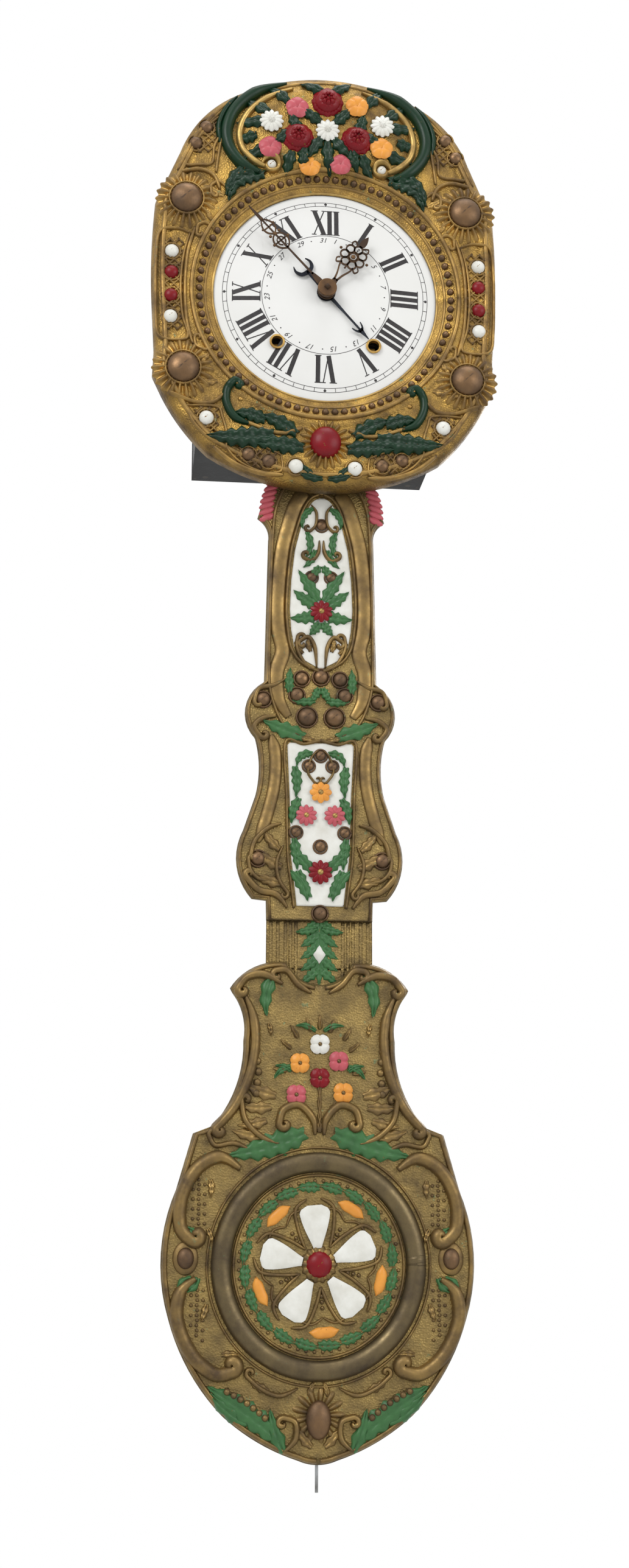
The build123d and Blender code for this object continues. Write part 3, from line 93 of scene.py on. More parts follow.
class Paint:
    """A material and the nodes that make its finish."""

    def __init__(self, name):
        self.material = bpy.data.materials.new(name)
        self.material.use_nodes = True
        self.tree = self.material.node_tree
        self.shader = self.tree.nodes["Principled BSDF"]
        self.place = self.node("ShaderNodeTexCoord", {}, {}, 3)

    def node(self, kind, settings, values, output=0):
        """Any node, from its type, its settings, and the values or links of its sockets."""
        made = self.tree.nodes.new(kind)
        for key, value in settings.items():
            setattr(made, key, value)
        for key, value in values.items():
            if isinstance(value, Wire):
                self.tree.links.new(value.socket, made.inputs[key])
            else:
                made.inputs[key].default_value = value
        return Wire(self, made.outputs[output])

    def noise(self, scale, detail=4.0, rough=0.6):
        return self.node(
            "ShaderNodeTexNoise",
            {},
            {"Vector": self.place, "Scale": scale, "Detail": detail, "Roughness": rough},
        )

    def crease(self):
        """How far a surface bulges: above 0.5 on edges, below it in hollows."""
        return self.node("ShaderNodeNewGeometry", {}, {}, 7)

    def blend(self, mask, first, second):
        return self.node("ShaderNodeMix", {"data_type": "RGBA"}, {0: mask, 6: first, 7: second}, 2)

    def finish(self, colour, roughness, metallic=None, height=None, depth=0.0003, **constants):
        for key, value in (("Base Color", colour), ("Roughness", roughness), ("Metallic", metallic)):
            if isinstance(value, Wire):
                self.tree.links.new(value.socket, self.shader.inputs[key])
            elif value is not None:
                self.shader.inputs[key].default_value = value
        if height is not None:
            bump = self.node("ShaderNodeBump", {}, {"Strength": 0.7, "Distance": depth, "Height": height})
            self.tree.links.new(bump.socket, self.shader.inputs["Normal"])
        for key, value in constants.items():
            self.shader.inputs[key.replace("_", " ")].default_value = value
        return self.material


def aged_brass(name, light, dark, verdigris=0.5, stipple=0.0, rough=0.34):
    """Stamped brass, dark on its high places and bright in the hollows, with green specks."""
    paint = Paint(name)
    cloud = paint.noise(38, 6, 0.65)
    grain = paint.noise(520, 3)
    raised = paint.crease()
    tarnish = ((cloud - 0.44) * 2.4 + (raised - 0.5) * 4.5 + 0.25).clamp()
    colour = paint.blend(tarnish, light, dark)
    speck = paint.noise(150, 3).above(0.70, 0.03) * verdigris
    colour = paint.blend(speck, colour, rgb(92, 120, 92))
    height = grain * 0.5 + cloud
    if stipple:
        dots = paint.node("ShaderNodeTexVoronoi", {}, {"Vector": paint.place, "Scale": stipple})
        height = height + dots * 2.4
    return paint.finish(colour, tarnish * 0.26 + grain * 0.12 + rough, 0.95 - tarnish * 0.35, height)


def stove_paint(name, body, worn, chip_edge=0.66):
    """Glossy paint on brass, dirty in patches and chipped through at its edges."""
    paint = Paint(name)
    cloud = paint.noise(70, 5, 0.6)
    flake = paint.noise(190, 5, 0.7)
    raised = paint.crease()
    colour = paint.blend((cloud - 0.35).clamp() * 1.3, body, worn)
    chips = (flake + (raised - 0.5) * 1.4).above(chip_edge, 0.025)
    colour = paint.blend(chips, colour, rgb(122, 88, 46))
    return paint.finish(colour, cloud * 0.22 + chips * 0.2 + 0.24, chips * 0.8, flake * 0.4 - chips, 0.0002,
                        Specular_IOR_Level=0.25)


def iron_finish(name, body, rust, rough=0.5, metallic=0.3):
    """Black paint or scale on iron, with brown where it has worn."""
    paint = Paint(name)
    cloud = paint.noise(24, 7, 0.7)
    grain = paint.noise(300, 3)
    colour = paint.blend(cloud.above(0.6, 0.1) * 0.6, body, rust)
    return paint.finish(colour, cloud * 0.3 + rough - 0.15, metallic, grain + cloud, 0.0002,
                        Specular_IOR_Level=0.3)


def turned_metal(name, body, dull, rough=0.3):
    """Turned or filed metal with a fine grain and dull patches."""
    paint = Paint(name)
    cloud = paint.noise(45, 5)
    stretched = paint.node("ShaderNodeMapping", {}, {"Vector": paint.place, "Scale": (900, 60, 900)})
    grain = paint.node("ShaderNodeTexNoise", {}, {"Vector": stretched, "Scale": 1.0, "Detail": 3.0})
    colour = paint.blend(cloud.above(0.52, 0.16), body, dull)
    return paint.finish(colour, cloud * 0.25 + grain * 0.1 + rough - 0.1, 0.92, grain, 0.0001)


def enamel_finish():
    """White vitreous enamel, faintly greyed in places and very glossy."""
    paint = Paint("dial_enamel")
    cloud = paint.noise(14, 4)
    colour = paint.blend((cloud - 0.3).clamp(), rgb(222, 222, 220), rgb(208, 208, 203))
    return paint.finish(colour, cloud * 0.08 + 0.06, 0.0, paint.noise(60, 2), 0.00008, Coat_Weight=0.25)


def ink_finish():
    """Black fired enamel of the numerals."""
    paint = Paint("fired_black")
    cloud = paint.noise(300, 3)
    colour = paint.blend(cloud, rgb(22, 20, 22), rgb(44, 40, 40))
    return paint.finish(colour, cloud * 0.2 + 0.2)


brass_ground = aged_brass("stamped_ground", rgb(170, 136, 70), rgb(70, 53, 32), 0.6, 620, 0.3)
brass_relief = aged_brass("stamped_relief", rgb(176, 142, 80), rgb(86, 66, 42), 0.5, rough=0.3)
brass_bright = aged_brass("bright_brass", rgb(208, 176, 106), rgb(126, 98, 54), 0.2, rough=0.24)
brass_dark = aged_brass("brown_domes", rgb(126, 98, 70), rgb(74, 57, 42), 0.3, rough=0.27)
ring_brass = aged_brass("ring_brass", rgb(112, 98, 70), rgb(66, 55, 40), 0.2, rough=0.26)
bob_ground_brass = aged_brass("bob_ground", rgb(146, 124, 76), rgb(76, 62, 40), 0.5, 560, 0.3)
bob_relief_brass = aged_brass("bob_relief", rgb(148, 122, 74), rgb(76, 60, 40), 0.4, rough=0.27)
hand_brass = aged_brass("hand_brass", rgb(112, 84, 56), rgb(62, 46, 34), 0.0, rough=0.36)
green_dark = stove_paint("bottle_green", rgb(13, 46, 26), rgb(8, 24, 14), 0.72)
green_mid = stove_paint("leaf_green", rgb(62, 106, 62), rgb(40, 72, 42), 0.74)
crimson = stove_paint("crimson", rgb(124, 10, 22), rgb(78, 8, 16), 0.72)
pink = stove_paint("rose_pink", rgb(186, 88, 96), rgb(140, 62, 72), 0.74)
orange = stove_paint("orange_yellow", rgb(222, 152, 66), rgb(180, 108, 40), 0.74)
white = stove_paint("cream_white", rgb(222, 222, 216), rgb(182, 178, 164), 0.76)
enamel = enamel_finish()
ink = ink_finish()
slot_finishes = {
    "stamped_brass": brass_relief,
    "bob_brass": bob_relief_brass,
    "brass": turned_metal("turned_brass", rgb(196, 160, 92), rgb(140, 108, 58)),
    "hand_brass": hand_brass,
    "enamel": enamel,
    "steel": turned_metal("turned_steel", rgb(160, 162, 164), rgb(104, 102, 98)),
    "dark_steel": turned_metal("blued_steel", rgb(50, 54, 62), rgb(34, 34, 38), 0.32),
    "black_iron": iron_finish("black_iron", rgb(24, 25, 27), rgb(44, 38, 33), 0.5, 0.05),
    "wrought_iron": iron_finish("wrought_iron", rgb(74, 70, 66), rgb(82, 60, 44), 0.55, 0.7),
    "bell_metal": turned_metal("bell_metal", rgb(178, 156, 108), rgb(112, 96, 66), 0.28),
    "lead": iron_finish("cast_lead", rgb(112, 114, 118), rgb(90, 90, 92), 0.6, 0.7),
}
for subpart in frame["record"]["subparts"]:
    node = frame["nodes"][subpart["node"]]
    finish = slot_finishes[subpart["material_slot"]]
    if not node.material_slots:
        node.data.materials.append(finish)
    for held in node.material_slots:
        held.material = finish


class Shape:
    """Points as x, z and out, in millimetres, and the faces between them."""

    def __init__(self):
        self.points = []
        self.faces = []

    def add(self, points, faces):
        start = len(self.points)
        self.points.extend(tuple(float(c) for c in p) for p in points)
        self.faces.extend(tuple(start + i for i in face) for face in faces)

    def grid(self, points, ring=False):
        """A net of points, rows by columns; a ring joins the last column to the first."""
        points = np.asarray(points, float)
        rows, columns = points.shape[:2]
        steps = columns if ring else columns - 1
        faces = []
        for near in range(0, (rows - 1) * columns, columns):
            far = near + columns
            for c in range(steps):
                d = (c + 1) % columns
                faces.append((near + c, near + d, far + d, far + c))
        self.add(points.reshape(-1, 3), faces)

    def mirror(self):
        """Adds the left-hand copy of all that is there."""
        self.add([(-x, z, out) for x, z, out in self.points], [face[::-1] for face in self.faces])
        return self


def piece(name, shape, finish, body, replaces=(), smooth=True, thicken=0.0):
    """A Blender object from a shape, riding on a body."""
    mesh = bpy.data.meshes.new(name)
    coordinates = [(x * MM, -out * MM, z * MM) for x, z, out in shape.points]
    mesh.from_pydata(coordinates, [], shape.faces)
    tool = bmesh.new()
    tool.from_mesh(mesh)
    bmesh.ops.remove_doubles(tool, verts=tool.verts, dist=1e-6)
    bmesh.ops.recalc_face_normals(tool, faces=tool.faces)
    tool.to_mesh(mesh)
    tool.free()
    mesh.polygons.foreach_set("use_smooth", [smooth] * len(mesh.polygons))
    mesh.materials.append(finish)
    made = bpy.data.objects.new(name, mesh)
    bpy.context.scene.collection.objects.link(made)
    if thicken:
        wall = made.modifiers.new("wall", "SOLIDIFY")
        wall.thickness = thicken * MM
        wall.offset = -1
    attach(made, body)
    if replaces:
        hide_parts(*replaces)
    return made


def smooth_path(points, steps=8):
    """A smooth line through given points."""
    knots = np.array([points[0], *points, points[-1]], float)
    line = []
    for a, b, c, d in zip(knots, knots[1:], knots[2:], knots[3:]):
        for share in np.arange(steps) / steps:
            line.append(
                0.5 * (2 * b + (c - a) * share + (2 * a - 5 * b + 4 * c - d) * share ** 2
                       + (3 * b - 3 * c + d - a) * share ** 3)
            )
    return np.array([*line, knots[-1]])


def curl(path, radius, turns, side):
    """The path with a spiral wound on its end: side is 1 to turn left and -1 to turn right."""
    heading = path[-1] - path[-2]
    angle = atan2(heading[1], heading[0])
    steps = int(24 * turns)
    at, tail = path[-1].copy(), []
    for step in range(steps):
        tight = radius * (1 - 0.82 * step / steps)
        angle += side * 2 * pi * turns / steps
        at = at + tight * 2 * pi * turns / steps * np.array([cos(angle), sin(angle)])
        tail.append(at)
    return np.vstack([path, tail])


def band(shape, path, width, height, ground, ends=(0.35, 0.35), sides=8, flat=False, lift=0.0):
    """A raised rib along a path, as wide as width in its middle and drawn in at its ends."""
    path = np.asarray(path, float)
    along = np.gradient(path, axis=0)
    along /= np.linalg.norm(along, axis=1)[:, None] + 1e-9
    across = np.stack([-along[:, 1], along[:, 0]], axis=1)
    share = np.linspace(0, 1, len(path))
    bulge = np.minimum(1, np.minimum(ends[0] + 4 * share, ends[1] + 4 * (1 - share)))
    rows = []
    for at, side, size in zip(path, across, bulge):
        row = []
        for turn in np.linspace(0, pi, sides + 1):
            reach = cos(turn) * width / 2 * size
            rise = (min(1.0, 1.6 * sin(turn)) if flat else sin(turn)) * height * (0.4 + 0.6 * size)
            x, z = at + side * reach
            row.append((x, z, ground(x, z) + lift + rise - 0.6))
        rows.append(row)
    shape.grid(rows)
    for row in (rows[0], rows[-1]):
        shape.add(row, [tuple(range(len(row)))])


def cap(shape, x, z, out, radius, height, stretch=1.0, turn=0.0, flutes=0, depth=0.12, rings=7, around=28):
    """A domed boss, drawn out along one direction and fluted if asked."""
    rows = []
    for level in np.linspace(0, 0.96, rings):
        row = []
        for step in range(around):
            angle = 2 * pi * step / around
            wave = 1 + depth * cos(flutes * angle) * (1 - level) if flutes else 1
            reach = radius * cos(level * pi / 2) * wave
            u, v = reach * cos(angle), reach * stretch * sin(angle)
            c, s = cos(radians(turn)), sin(radians(turn))
            rise = height * sin(level * pi / 2)
            if flutes:
                rise += height * 0.22 * cos(flutes * angle) * sin(level * pi)
            row.append((x + c * u - s * v, z + s * u + c * v, out + rise))
        rows.append(row)
    shape.grid(rows, ring=True)
    shape.add(rows[-1], [tuple(range(around))])


def petal(shape, x, z, out, angle, length, width, rise, blunt=0.55, tip_drop=0.0):
    """A cupped petal with a crease down its middle, from its root outwards."""
    a = radians(angle)
    rows = []
    for s in np.linspace(0.02, 0.985, 9):
        if s < 0.55:
            half = width / 2 * sin(pi * s ** blunt * 0.5 + 0.16)
        else:
            half = width / 2 * sqrt(max(0.0, 1 - ((s - 0.55) / 0.45) ** 2.2))
        row = []
        for t in np.linspace(-1, 1, 7):
            u, v = s * length, t * half
            lift = rise * (0.35 + 0.75 * sin(pi * min(1, s * 0.9 + 0.12))) * (1 - 0.75 * t * t)
            lift -= rise * 0.22 * (1 - abs(t)) ** 4 + tip_drop * s * s
            row.append((x + cos(a) * u - sin(a) * v, z + sin(a) * u + cos(a) * v, out + lift))
        rows.append(row)
    shape.grid(rows)


def daisy(shape, x, z, out, radius, petals, rise=2.6, start=90.0, fat=1.0):
    """A ring of petals."""
    width = fat * 2 * pi * radius * 0.78 / petals
    for n in range(petals):
        petal(shape, x, z, out - 0.4, start + 360 * n / petals, radius, width, rise)


def dahlia(shape, x, z, out, radius, height):
    """A domed flower of petals in rings, each ring higher and steeper than the last."""
    cap(shape, x, z, out - 1, radius * 0.86, height * 0.86)
    rings = ((1.0, 0.18, 12), (0.78, 0.5, 10), (0.54, 0.78, 8), (0.3, 0.95, 5))
    for ring, (reach, level, count) in enumerate(rings):
        for n in range(count):
            angle = 360 * (n + 0.5 * (ring % 2)) / count
            a = radians(angle)
            start = radius * reach * 0.35
            petal(shape, x + start * cos(a), z + start * sin(a), out + height * level - 1.2, angle,
                  radius * reach * 0.68, radius * reach * 0.62, height * 0.3, tip_drop=height * 0.28)


def leaf(shape, x, z, angle, length, width, ground, bend=0.0, lobes=4, rise=3.0, lift=0.0):
    """A lobed leaf along a bent spine, with a sunk midrib and a vein to each lobe."""
    rows, at, a = [], np.array([x, z], float), radians(angle)
    steps = max(14, lobes * 7)
    for n in range(steps + 1):
        s = n / steps
        swell = sin(pi * min(1.0, 0.06 + s * 0.94)) ** 0.62 * (1.12 - 0.42 * s)
        notch = (s * lobes) % 1.0
        edge = swell * (1 - 0.42 * (1 - abs(2 * notch - 1) ** 0.7) * (1 if s < 0.93 else 0))
        row = []
        for t in np.linspace(-1, 1, 11):
            back = -abs(t) * width * 0.10
            v = t * width / 2 * edge
            px = at[0] - sin(a) * v + cos(a) * back
            pz = at[1] + cos(a) * v + sin(a) * back
            body = (1 - t * t) ** 0.5
            up = rise * body * (0.55 + 0.45 * sin(pi * s)) - rise * 0.5 * (1 - abs(t)) ** 5
            up += rise * 0.16 * cos(2 * pi * (s * lobes - 0.55 * abs(t))) * body
            row.append((px, pz, ground(px, pz) + lift + up - 0.5))
        rows.append(row)
        at = at + np.array([cos(a), sin(a)]) * length / steps
        a += radians(bend) / steps
    shape.grid(rows)


def bead_row(shape, path, radius, ground, gap=1.0, squash=0.8):
    """Round beads set touching along a path."""
    path = np.asarray(path, float)
    runs = np.concatenate([[0], np.cumsum(np.linalg.norm(np.diff(path, axis=0), axis=1))])
    for place in np.arange(radius, runs[-1], 2 * radius * gap):
        x, z = np.interp(place, runs, path[:, 0]), np.interp(place, runs, path[:, 1])
        cap(shape, x, z, ground(x, z) - 0.4, radius, radius * squash, rings=4, around=10)


def ring_path(x, z, radius, turns):
    """Points on a circle, at the angles given."""
    return np.stack([x + radius * np.cos(turns), z + radius * np.sin(turns)], axis=1)


def half_width(runs, z):
    """The half width of an outline at a height, from its points, top to bottom."""
    zs, xs = [p[1] for p in runs][::-1], [p[0] for p in runs][::-1]
    return np.interp(z, zs, xs)


def arc_through(first, middle, last, steps=10):
    """Points on the arc through three points."""
    (ax, ay), (bx, by), (cx, cy) = first, middle, last
    d = 2 * (ax * (by - cy) + bx * (cy - ay) + cx * (ay - by))
    a, b, c = (x * x + y * y for x, y in (first, middle, last))
    ux = (a * (by - cy) + b * (cy - ay) + c * (ay - by)) / d
    uy = (a * (cx - bx) + b * (ax - cx) + c * (bx - ax)) / d
    radius = hypot(ax - ux, ay - uy)
    start, mid, end = (atan2(y - uy, x - ux) for x, y in (first, middle, last))
    sweep = (end - start) % (2 * pi)
    if (mid - start) % (2 * pi) > sweep:
        sweep -= 2 * pi
    return [(ux + radius * cos(start + sweep * n / steps), uy + radius * sin(start + sweep * n / steps))
            for n in range(steps + 1)]


def outline(runs):
    """The right side of an outline, top to bottom, from its straight runs and arcs."""
    top_middle, top_end = runs[0]
    bottom_start, bottom_middle = runs[-1]
    points = []
    if top_middle[1] == top_end[1]:
        points += [top_middle, top_end]
    else:
        points += arc_through((-top_end[0], top_end[1]), top_middle, top_end, 20)[10:]
    for run in runs[1:-1]:
        points += list(run)[1:] if len(run) == 2 else arc_through(*run)[1:]
    if bottom_middle[1] == bottom_start[1]:
        points += [bottom_middle]
    else:
        points += arc_through(bottom_start, bottom_middle, (-bottom_start[0], bottom_start[1]), 20)[1:11]
    return np.array(points)


def inset_path(points, inset):
    """The right side of an outline drawn in by an inset."""
    along = np.gradient(points, axis=0)
    along /= np.linalg.norm(along, axis=1)[:, None] + 1e-9
    return points + np.stack([along[:, 1], -along[:, 0]], axis=1) * inset


def closed(points):
    """Both sides of an outline as one ring of points."""
    left = [(-x, z) for x, z in points[::-1] if x > 0.01]
    return np.vstack([points, left])


def reach_at(ring, centre, angles):
    """How far an outline lies from a centre, in each direction."""
    rays = np.array(ring) - np.array(centre)
    turns = np.unwrap(np.arctan2(rays[:, 0], rays[:, 1]))
    turns, lengths = np.append(turns, turns[0] + 2 * pi), np.append(rays, rays[:1], axis=0)
    fine_turns, fine_points = [], []
    for n in range(len(turns) - 1):
        for share in (0, 0.2, 0.4, 0.6, 0.8):
            point = lengths[n] * (1 - share) + lengths[n + 1] * share
            fine_points.append(hypot(*point))
            fine_turns.append(atan2(point[0], point[1]) % (2 * pi))
    order = np.argsort(fine_turns)
    return np.interp(angles, np.array(fine_turns)[order], np.array(fine_points)[order], period=2 * pi)


def step_up(value, low, high):
    """A smooth step from 0 at low to 1 at high."""
    share = np.clip((value - low) / (high - low), 0, 1)
    return share * share * (3 - 2 * share)


# Head: outline, ground and rim
HEAD_BACK, HEAD_FACE, DIAL_EDGE = 166.0, 188.0, 181.5
SIGHT, OPENING, BEAD_CIRCLE = 108.0, 126.0, 122.1
head_runs = [
    [(0, 235.5), (88, 213)], [(88, 213), (122, 186), (143, 148)], [(143, 148), (166, 92)],
    [(166, 92), (168.5, 35), (166.5, -20)], [(166.5, -20), (164, -60)], [(164, -60), (165, -86)],
    [(165, -86), (156, -105)], [(156, -105), (134, -140), (111, -165)], [(111, -165), (0, -196.7)],
]
head_line = outline(head_runs)
head_ring = closed(head_line)


def head_ground(x, z):
    """How far out the head's ground lies."""
    r = hypot(x, z)
    out = HEAD_FACE
    if r < OPENING:
        out = DIAL_EDGE + (HEAD_FACE - DIAL_EDGE) * max(0.0, (r - SIGHT) / (OPENING - SIGHT)) ** 1.2
    spread = (x / 88) ** 2 + ((z - 174) / 56) ** 2
    out += 8.5 * float(step_up(1 - spread, 0.0, 0.55)) * float(step_up(r, 127, 138))
    for cx, cz in ((136, 89), (136, -86)):
        near = hypot(abs(x) - cx, z - cz)
        out += 4.0 * float(step_up(34 - near, 0, 14))
    out += 1.8 * float(step_up(8 - abs(r - 131.5), 0, 4)) if r > 126 else 0
    return out


def head_sheet():
    shape = Shape()
    angles = np.linspace(0, 2 * pi, 540, endpoint=False)
    reach = reach_at(head_ring, (0, 0), angles)
    rows = []
    for share in np.linspace(0, 1, 64):
        row = []
        for angle, far in zip(angles, reach):
            r = SIGHT + (far - SIGHT) * share
            x, z = r * sin(angle), r * cos(angle)
            edge = max(0.0, 14 - (far - r))
            drop = 14 - sqrt(196 - min(edge, 14) ** 2)
            groove = 1.3 * float(step_up(3.5 - abs(far - r - 18), 0, 3))
            row.append((x, z, head_ground(x, z) - 0.9 * drop - groove))
        rows.append(row)
    rows.append([(far * sin(angle), far * cos(angle), HEAD_BACK) for angle, far in zip(angles, reach)])
    rows.insert(0, [(SIGHT * sin(angle), SIGHT * cos(angle), DIAL_EDGE - 1.4) for angle in angles])
    shape.grid(rows, ring=True)
    piece("head_sheet", shape, brass_ground, "case", ("surround",), thicken=1.1)


def head_frame():
    """Beads round the dial, the border rib and the plain mouldings."""
    beads = Shape()
    for n in range(84):
        a = 2 * pi * n / 84
        x, z = BEAD_CIRCLE * cos(a), BEAD_CIRCLE * sin(a)
        cap(beads, x, z, head_ground(x, z) - 0.4, 3.5, 4.4, rings=6, around=14)
    piece("head_beads", beads, brass_dark, "case")
    ribs = Shape()
    border = inset_path(head_line, 11)
    border[0][0] = border[-1][0] = 0
    ring = closed(border)
    ring = np.vstack([ring, ring[:2]])
    band(ribs, smooth_path(ring, 2), 5.5, 3.2, head_ground, (1, 1), lift=-0.6)
    turns = np.linspace(0, 2 * pi, 145)
    for radius, width, height in ((129.6, 4.6, 3.4), (116.4, 3.0, 1.6)):
        circle = np.stack([radius * np.cos(turns), radius * np.sin(turns)], axis=1)
        band(ribs, circle, width, height, head_ground, (1, 1))
    piece("head_mouldings", ribs, brass_relief, "case")
    lip = Shape()
    band(lip, ring_path(0, 0, 109.2, turns), 2.4, 1.6, head_ground, (1, 1))
    piece("dial_lip", lip, brass_bright, "case")


crimson_flowers = [(0, 200, 15.5), (-29, 160, 15.5), (29, 160, 15.5)]
white_flowers = [(-55, 175, 12), (0, 168, 12), (54, 176, 12)]
pink_flowers = [(-30, 191, 11.5), (-56, 148, 11.5), (13, 133, 11)]
orange_flowers = [(29, 196, 11.5), (-17, 131, 11), (53, 152, 11.5)]


def crest():
    """The flowers over the dial, their leaves and the scrolls that hold them."""
    domes = Shape()
    for x, z, r in crimson_flowers:
        dahlia(domes, x, z, head_ground(x, z) + 1.5, r, 10.5)
    piece("crest_dahlias", domes, crimson, "case")
    for name, flowers, finish, petals in (("crest_daisies", white_flowers, white, 12),
                                          ("crest_pinks", pink_flowers, pink, 5),
                                          ("crest_orange_flowers", orange_flowers, orange, 5)):
        shape = Shape()
        for x, z, r in flowers:
            cap(shape, x, z, head_ground(x, z) - 1, r * 0.8, 4.0)
            daisy(shape, x, z, head_ground(x, z) + 2.4, r, petals, 3.4, 90, 1.15)
        piece(name, shape, finish, "case")
    eyes = Shape()
    for x, z, r in white_flowers:
        cap(eyes, x, z, head_ground(x, z) + 4.0, r * 0.28, 2.8, flutes=7, depth=0.16)
    piece("crest_daisy_eyes", eyes, white, "case")
    green = Shape()
    around = [(-70, 176, 172, 30), (-66, 192, 140, 30), (-46, 206, 130, 28), (-14, 216, 150, 24), (14, 216, 30, 24),
              (46, 206, 50, 28), (66, 192, 40, 30), (70, 176, 8, 30), (68, 146, -20, 28), (38, 134, -70, 24),
              (0, 146, -90, 34), (-38, 134, -110, 24), (-68, 146, 200, 28), (-44, 160, 215, 22), (-15, 184, 140, 24),
              (15, 184, 40, 24), (44, 160, -35, 22), (-32, 176, 110, 22), (34, 178, 70, 22), (-12, 152, 235, 26),
              (12, 152, -55, 26), (-24, 138, 260, 22), (26, 138, -80, 22), (-80, 160, 190, 18), (80, 160, -10, 18)]
    for x, z, angle, length in around:
        a = radians(angle)
        leaf(green, x - 10 * cos(a), z - 10 * sin(a), angle, length, 15, head_ground, 14, 3, 3.6, 1.4)
    piece("crest_leaves", green, green_dark, "case")
    scrolls, gold, eyes = Shape(), Shape(), Shape()
    outer = smooth_path([(40, 222), (68, 212), (89, 193), (98, 170), (95, 149), (82, 132), (66, 124)])
    band(scrolls, outer, 12.5, 8.0, head_ground, (0.25, 0.4), sides=10)
    crest_edge = smooth_path([(88, 206), (100, 190), (106, 172), (104, 152)])
    band(scrolls, crest_edge, 6, 5.0, head_ground, (0.2, 0.2))
    inner = smooth_path([(34, 214), (60, 203), (78, 187), (85.5, 168), (83, 150), (73, 138), (60, 131)])
    band(gold, inner, 7.5, 6.0, head_ground, (0.3, 0.6))
    eye_x, eye_z = 54, 132
    spiral_turns = np.linspace(0, 2.2 * pi, 40)
    spiral = [((9.5 - 0.75 * t) * cos(t) + eye_x, (9.5 - 0.75 * t) * sin(t) + eye_z) for t in spiral_turns]
    band(gold, spiral, 5.0, 6.4, head_ground, (0.5, 0.5))
    cap(eyes, eye_x, eye_z, head_ground(eye_x, eye_z) + 3.2, 4.6, 4.4)
    piece("crest_scroll_bands", scrolls.mirror(), green_dark, "case")
    piece("crest_gold_scrolls", gold.mirror(), brass_bright, "case")
    piece("crest_volute_eyes", eyes.mirror(), white, "case")
    curls = Shape()
    leaf(curls, 62, 122, 8, 50, 25, head_ground, -95, 5, 5.0, 1.2)
    leaf(curls, 74, 130, -28, 40, 17, head_ground, -50, 4, 4.6, 1.8)
    leaf(curls, 86, 118, -62, 30, 13, head_ground, -20, 3, 4.0, 1.0)
    piece("crest_acanthus", curls.mirror(), green_dark, "case")


def rosette(shape, x, z, out, inner, outer, count, height):
    """A ring of radial flutes that end in a scalloped edge."""
    rows = []
    for level in np.linspace(0, 1, 10):
        row = []
        for step in range(count * 8):
            angle = 2 * pi * step / (count * 8)
            wave = cos(count * angle)
            r = inner + (outer - inner) * level * (1 + 0.09 * wave * level)
            rise = height * (sin(pi * min(1, 0.2 + 0.8 * level)) ** 0.7) * (0.62 + 0.38 * wave)
            row.append((x + r * cos(angle), z + r * sin(angle), out + rise - 1.4 * level))
        rows.append(row)
    shape.grid(rows, ring=True)


def lattice(shape, x_low, x_high, z_low, z_high, pitch):
    """Crossed ribs that fill a panel."""
    for lean in (1, -1):
        for start in np.arange(z_low - (x_high - x_low), z_high + (x_high - x_low), pitch):
            line = []
            for x in np.linspace(x_low, x_high, 16):
                z = start + lean * (x - x_low)
                if z_low <= z <= z_high and x < half_width(head_line, z) - 9:
                    line.append((x, z))
            if len(line) > 3:
                band(shape, line, 2.2, 2.5, head_ground, (1, 1), sides=4)


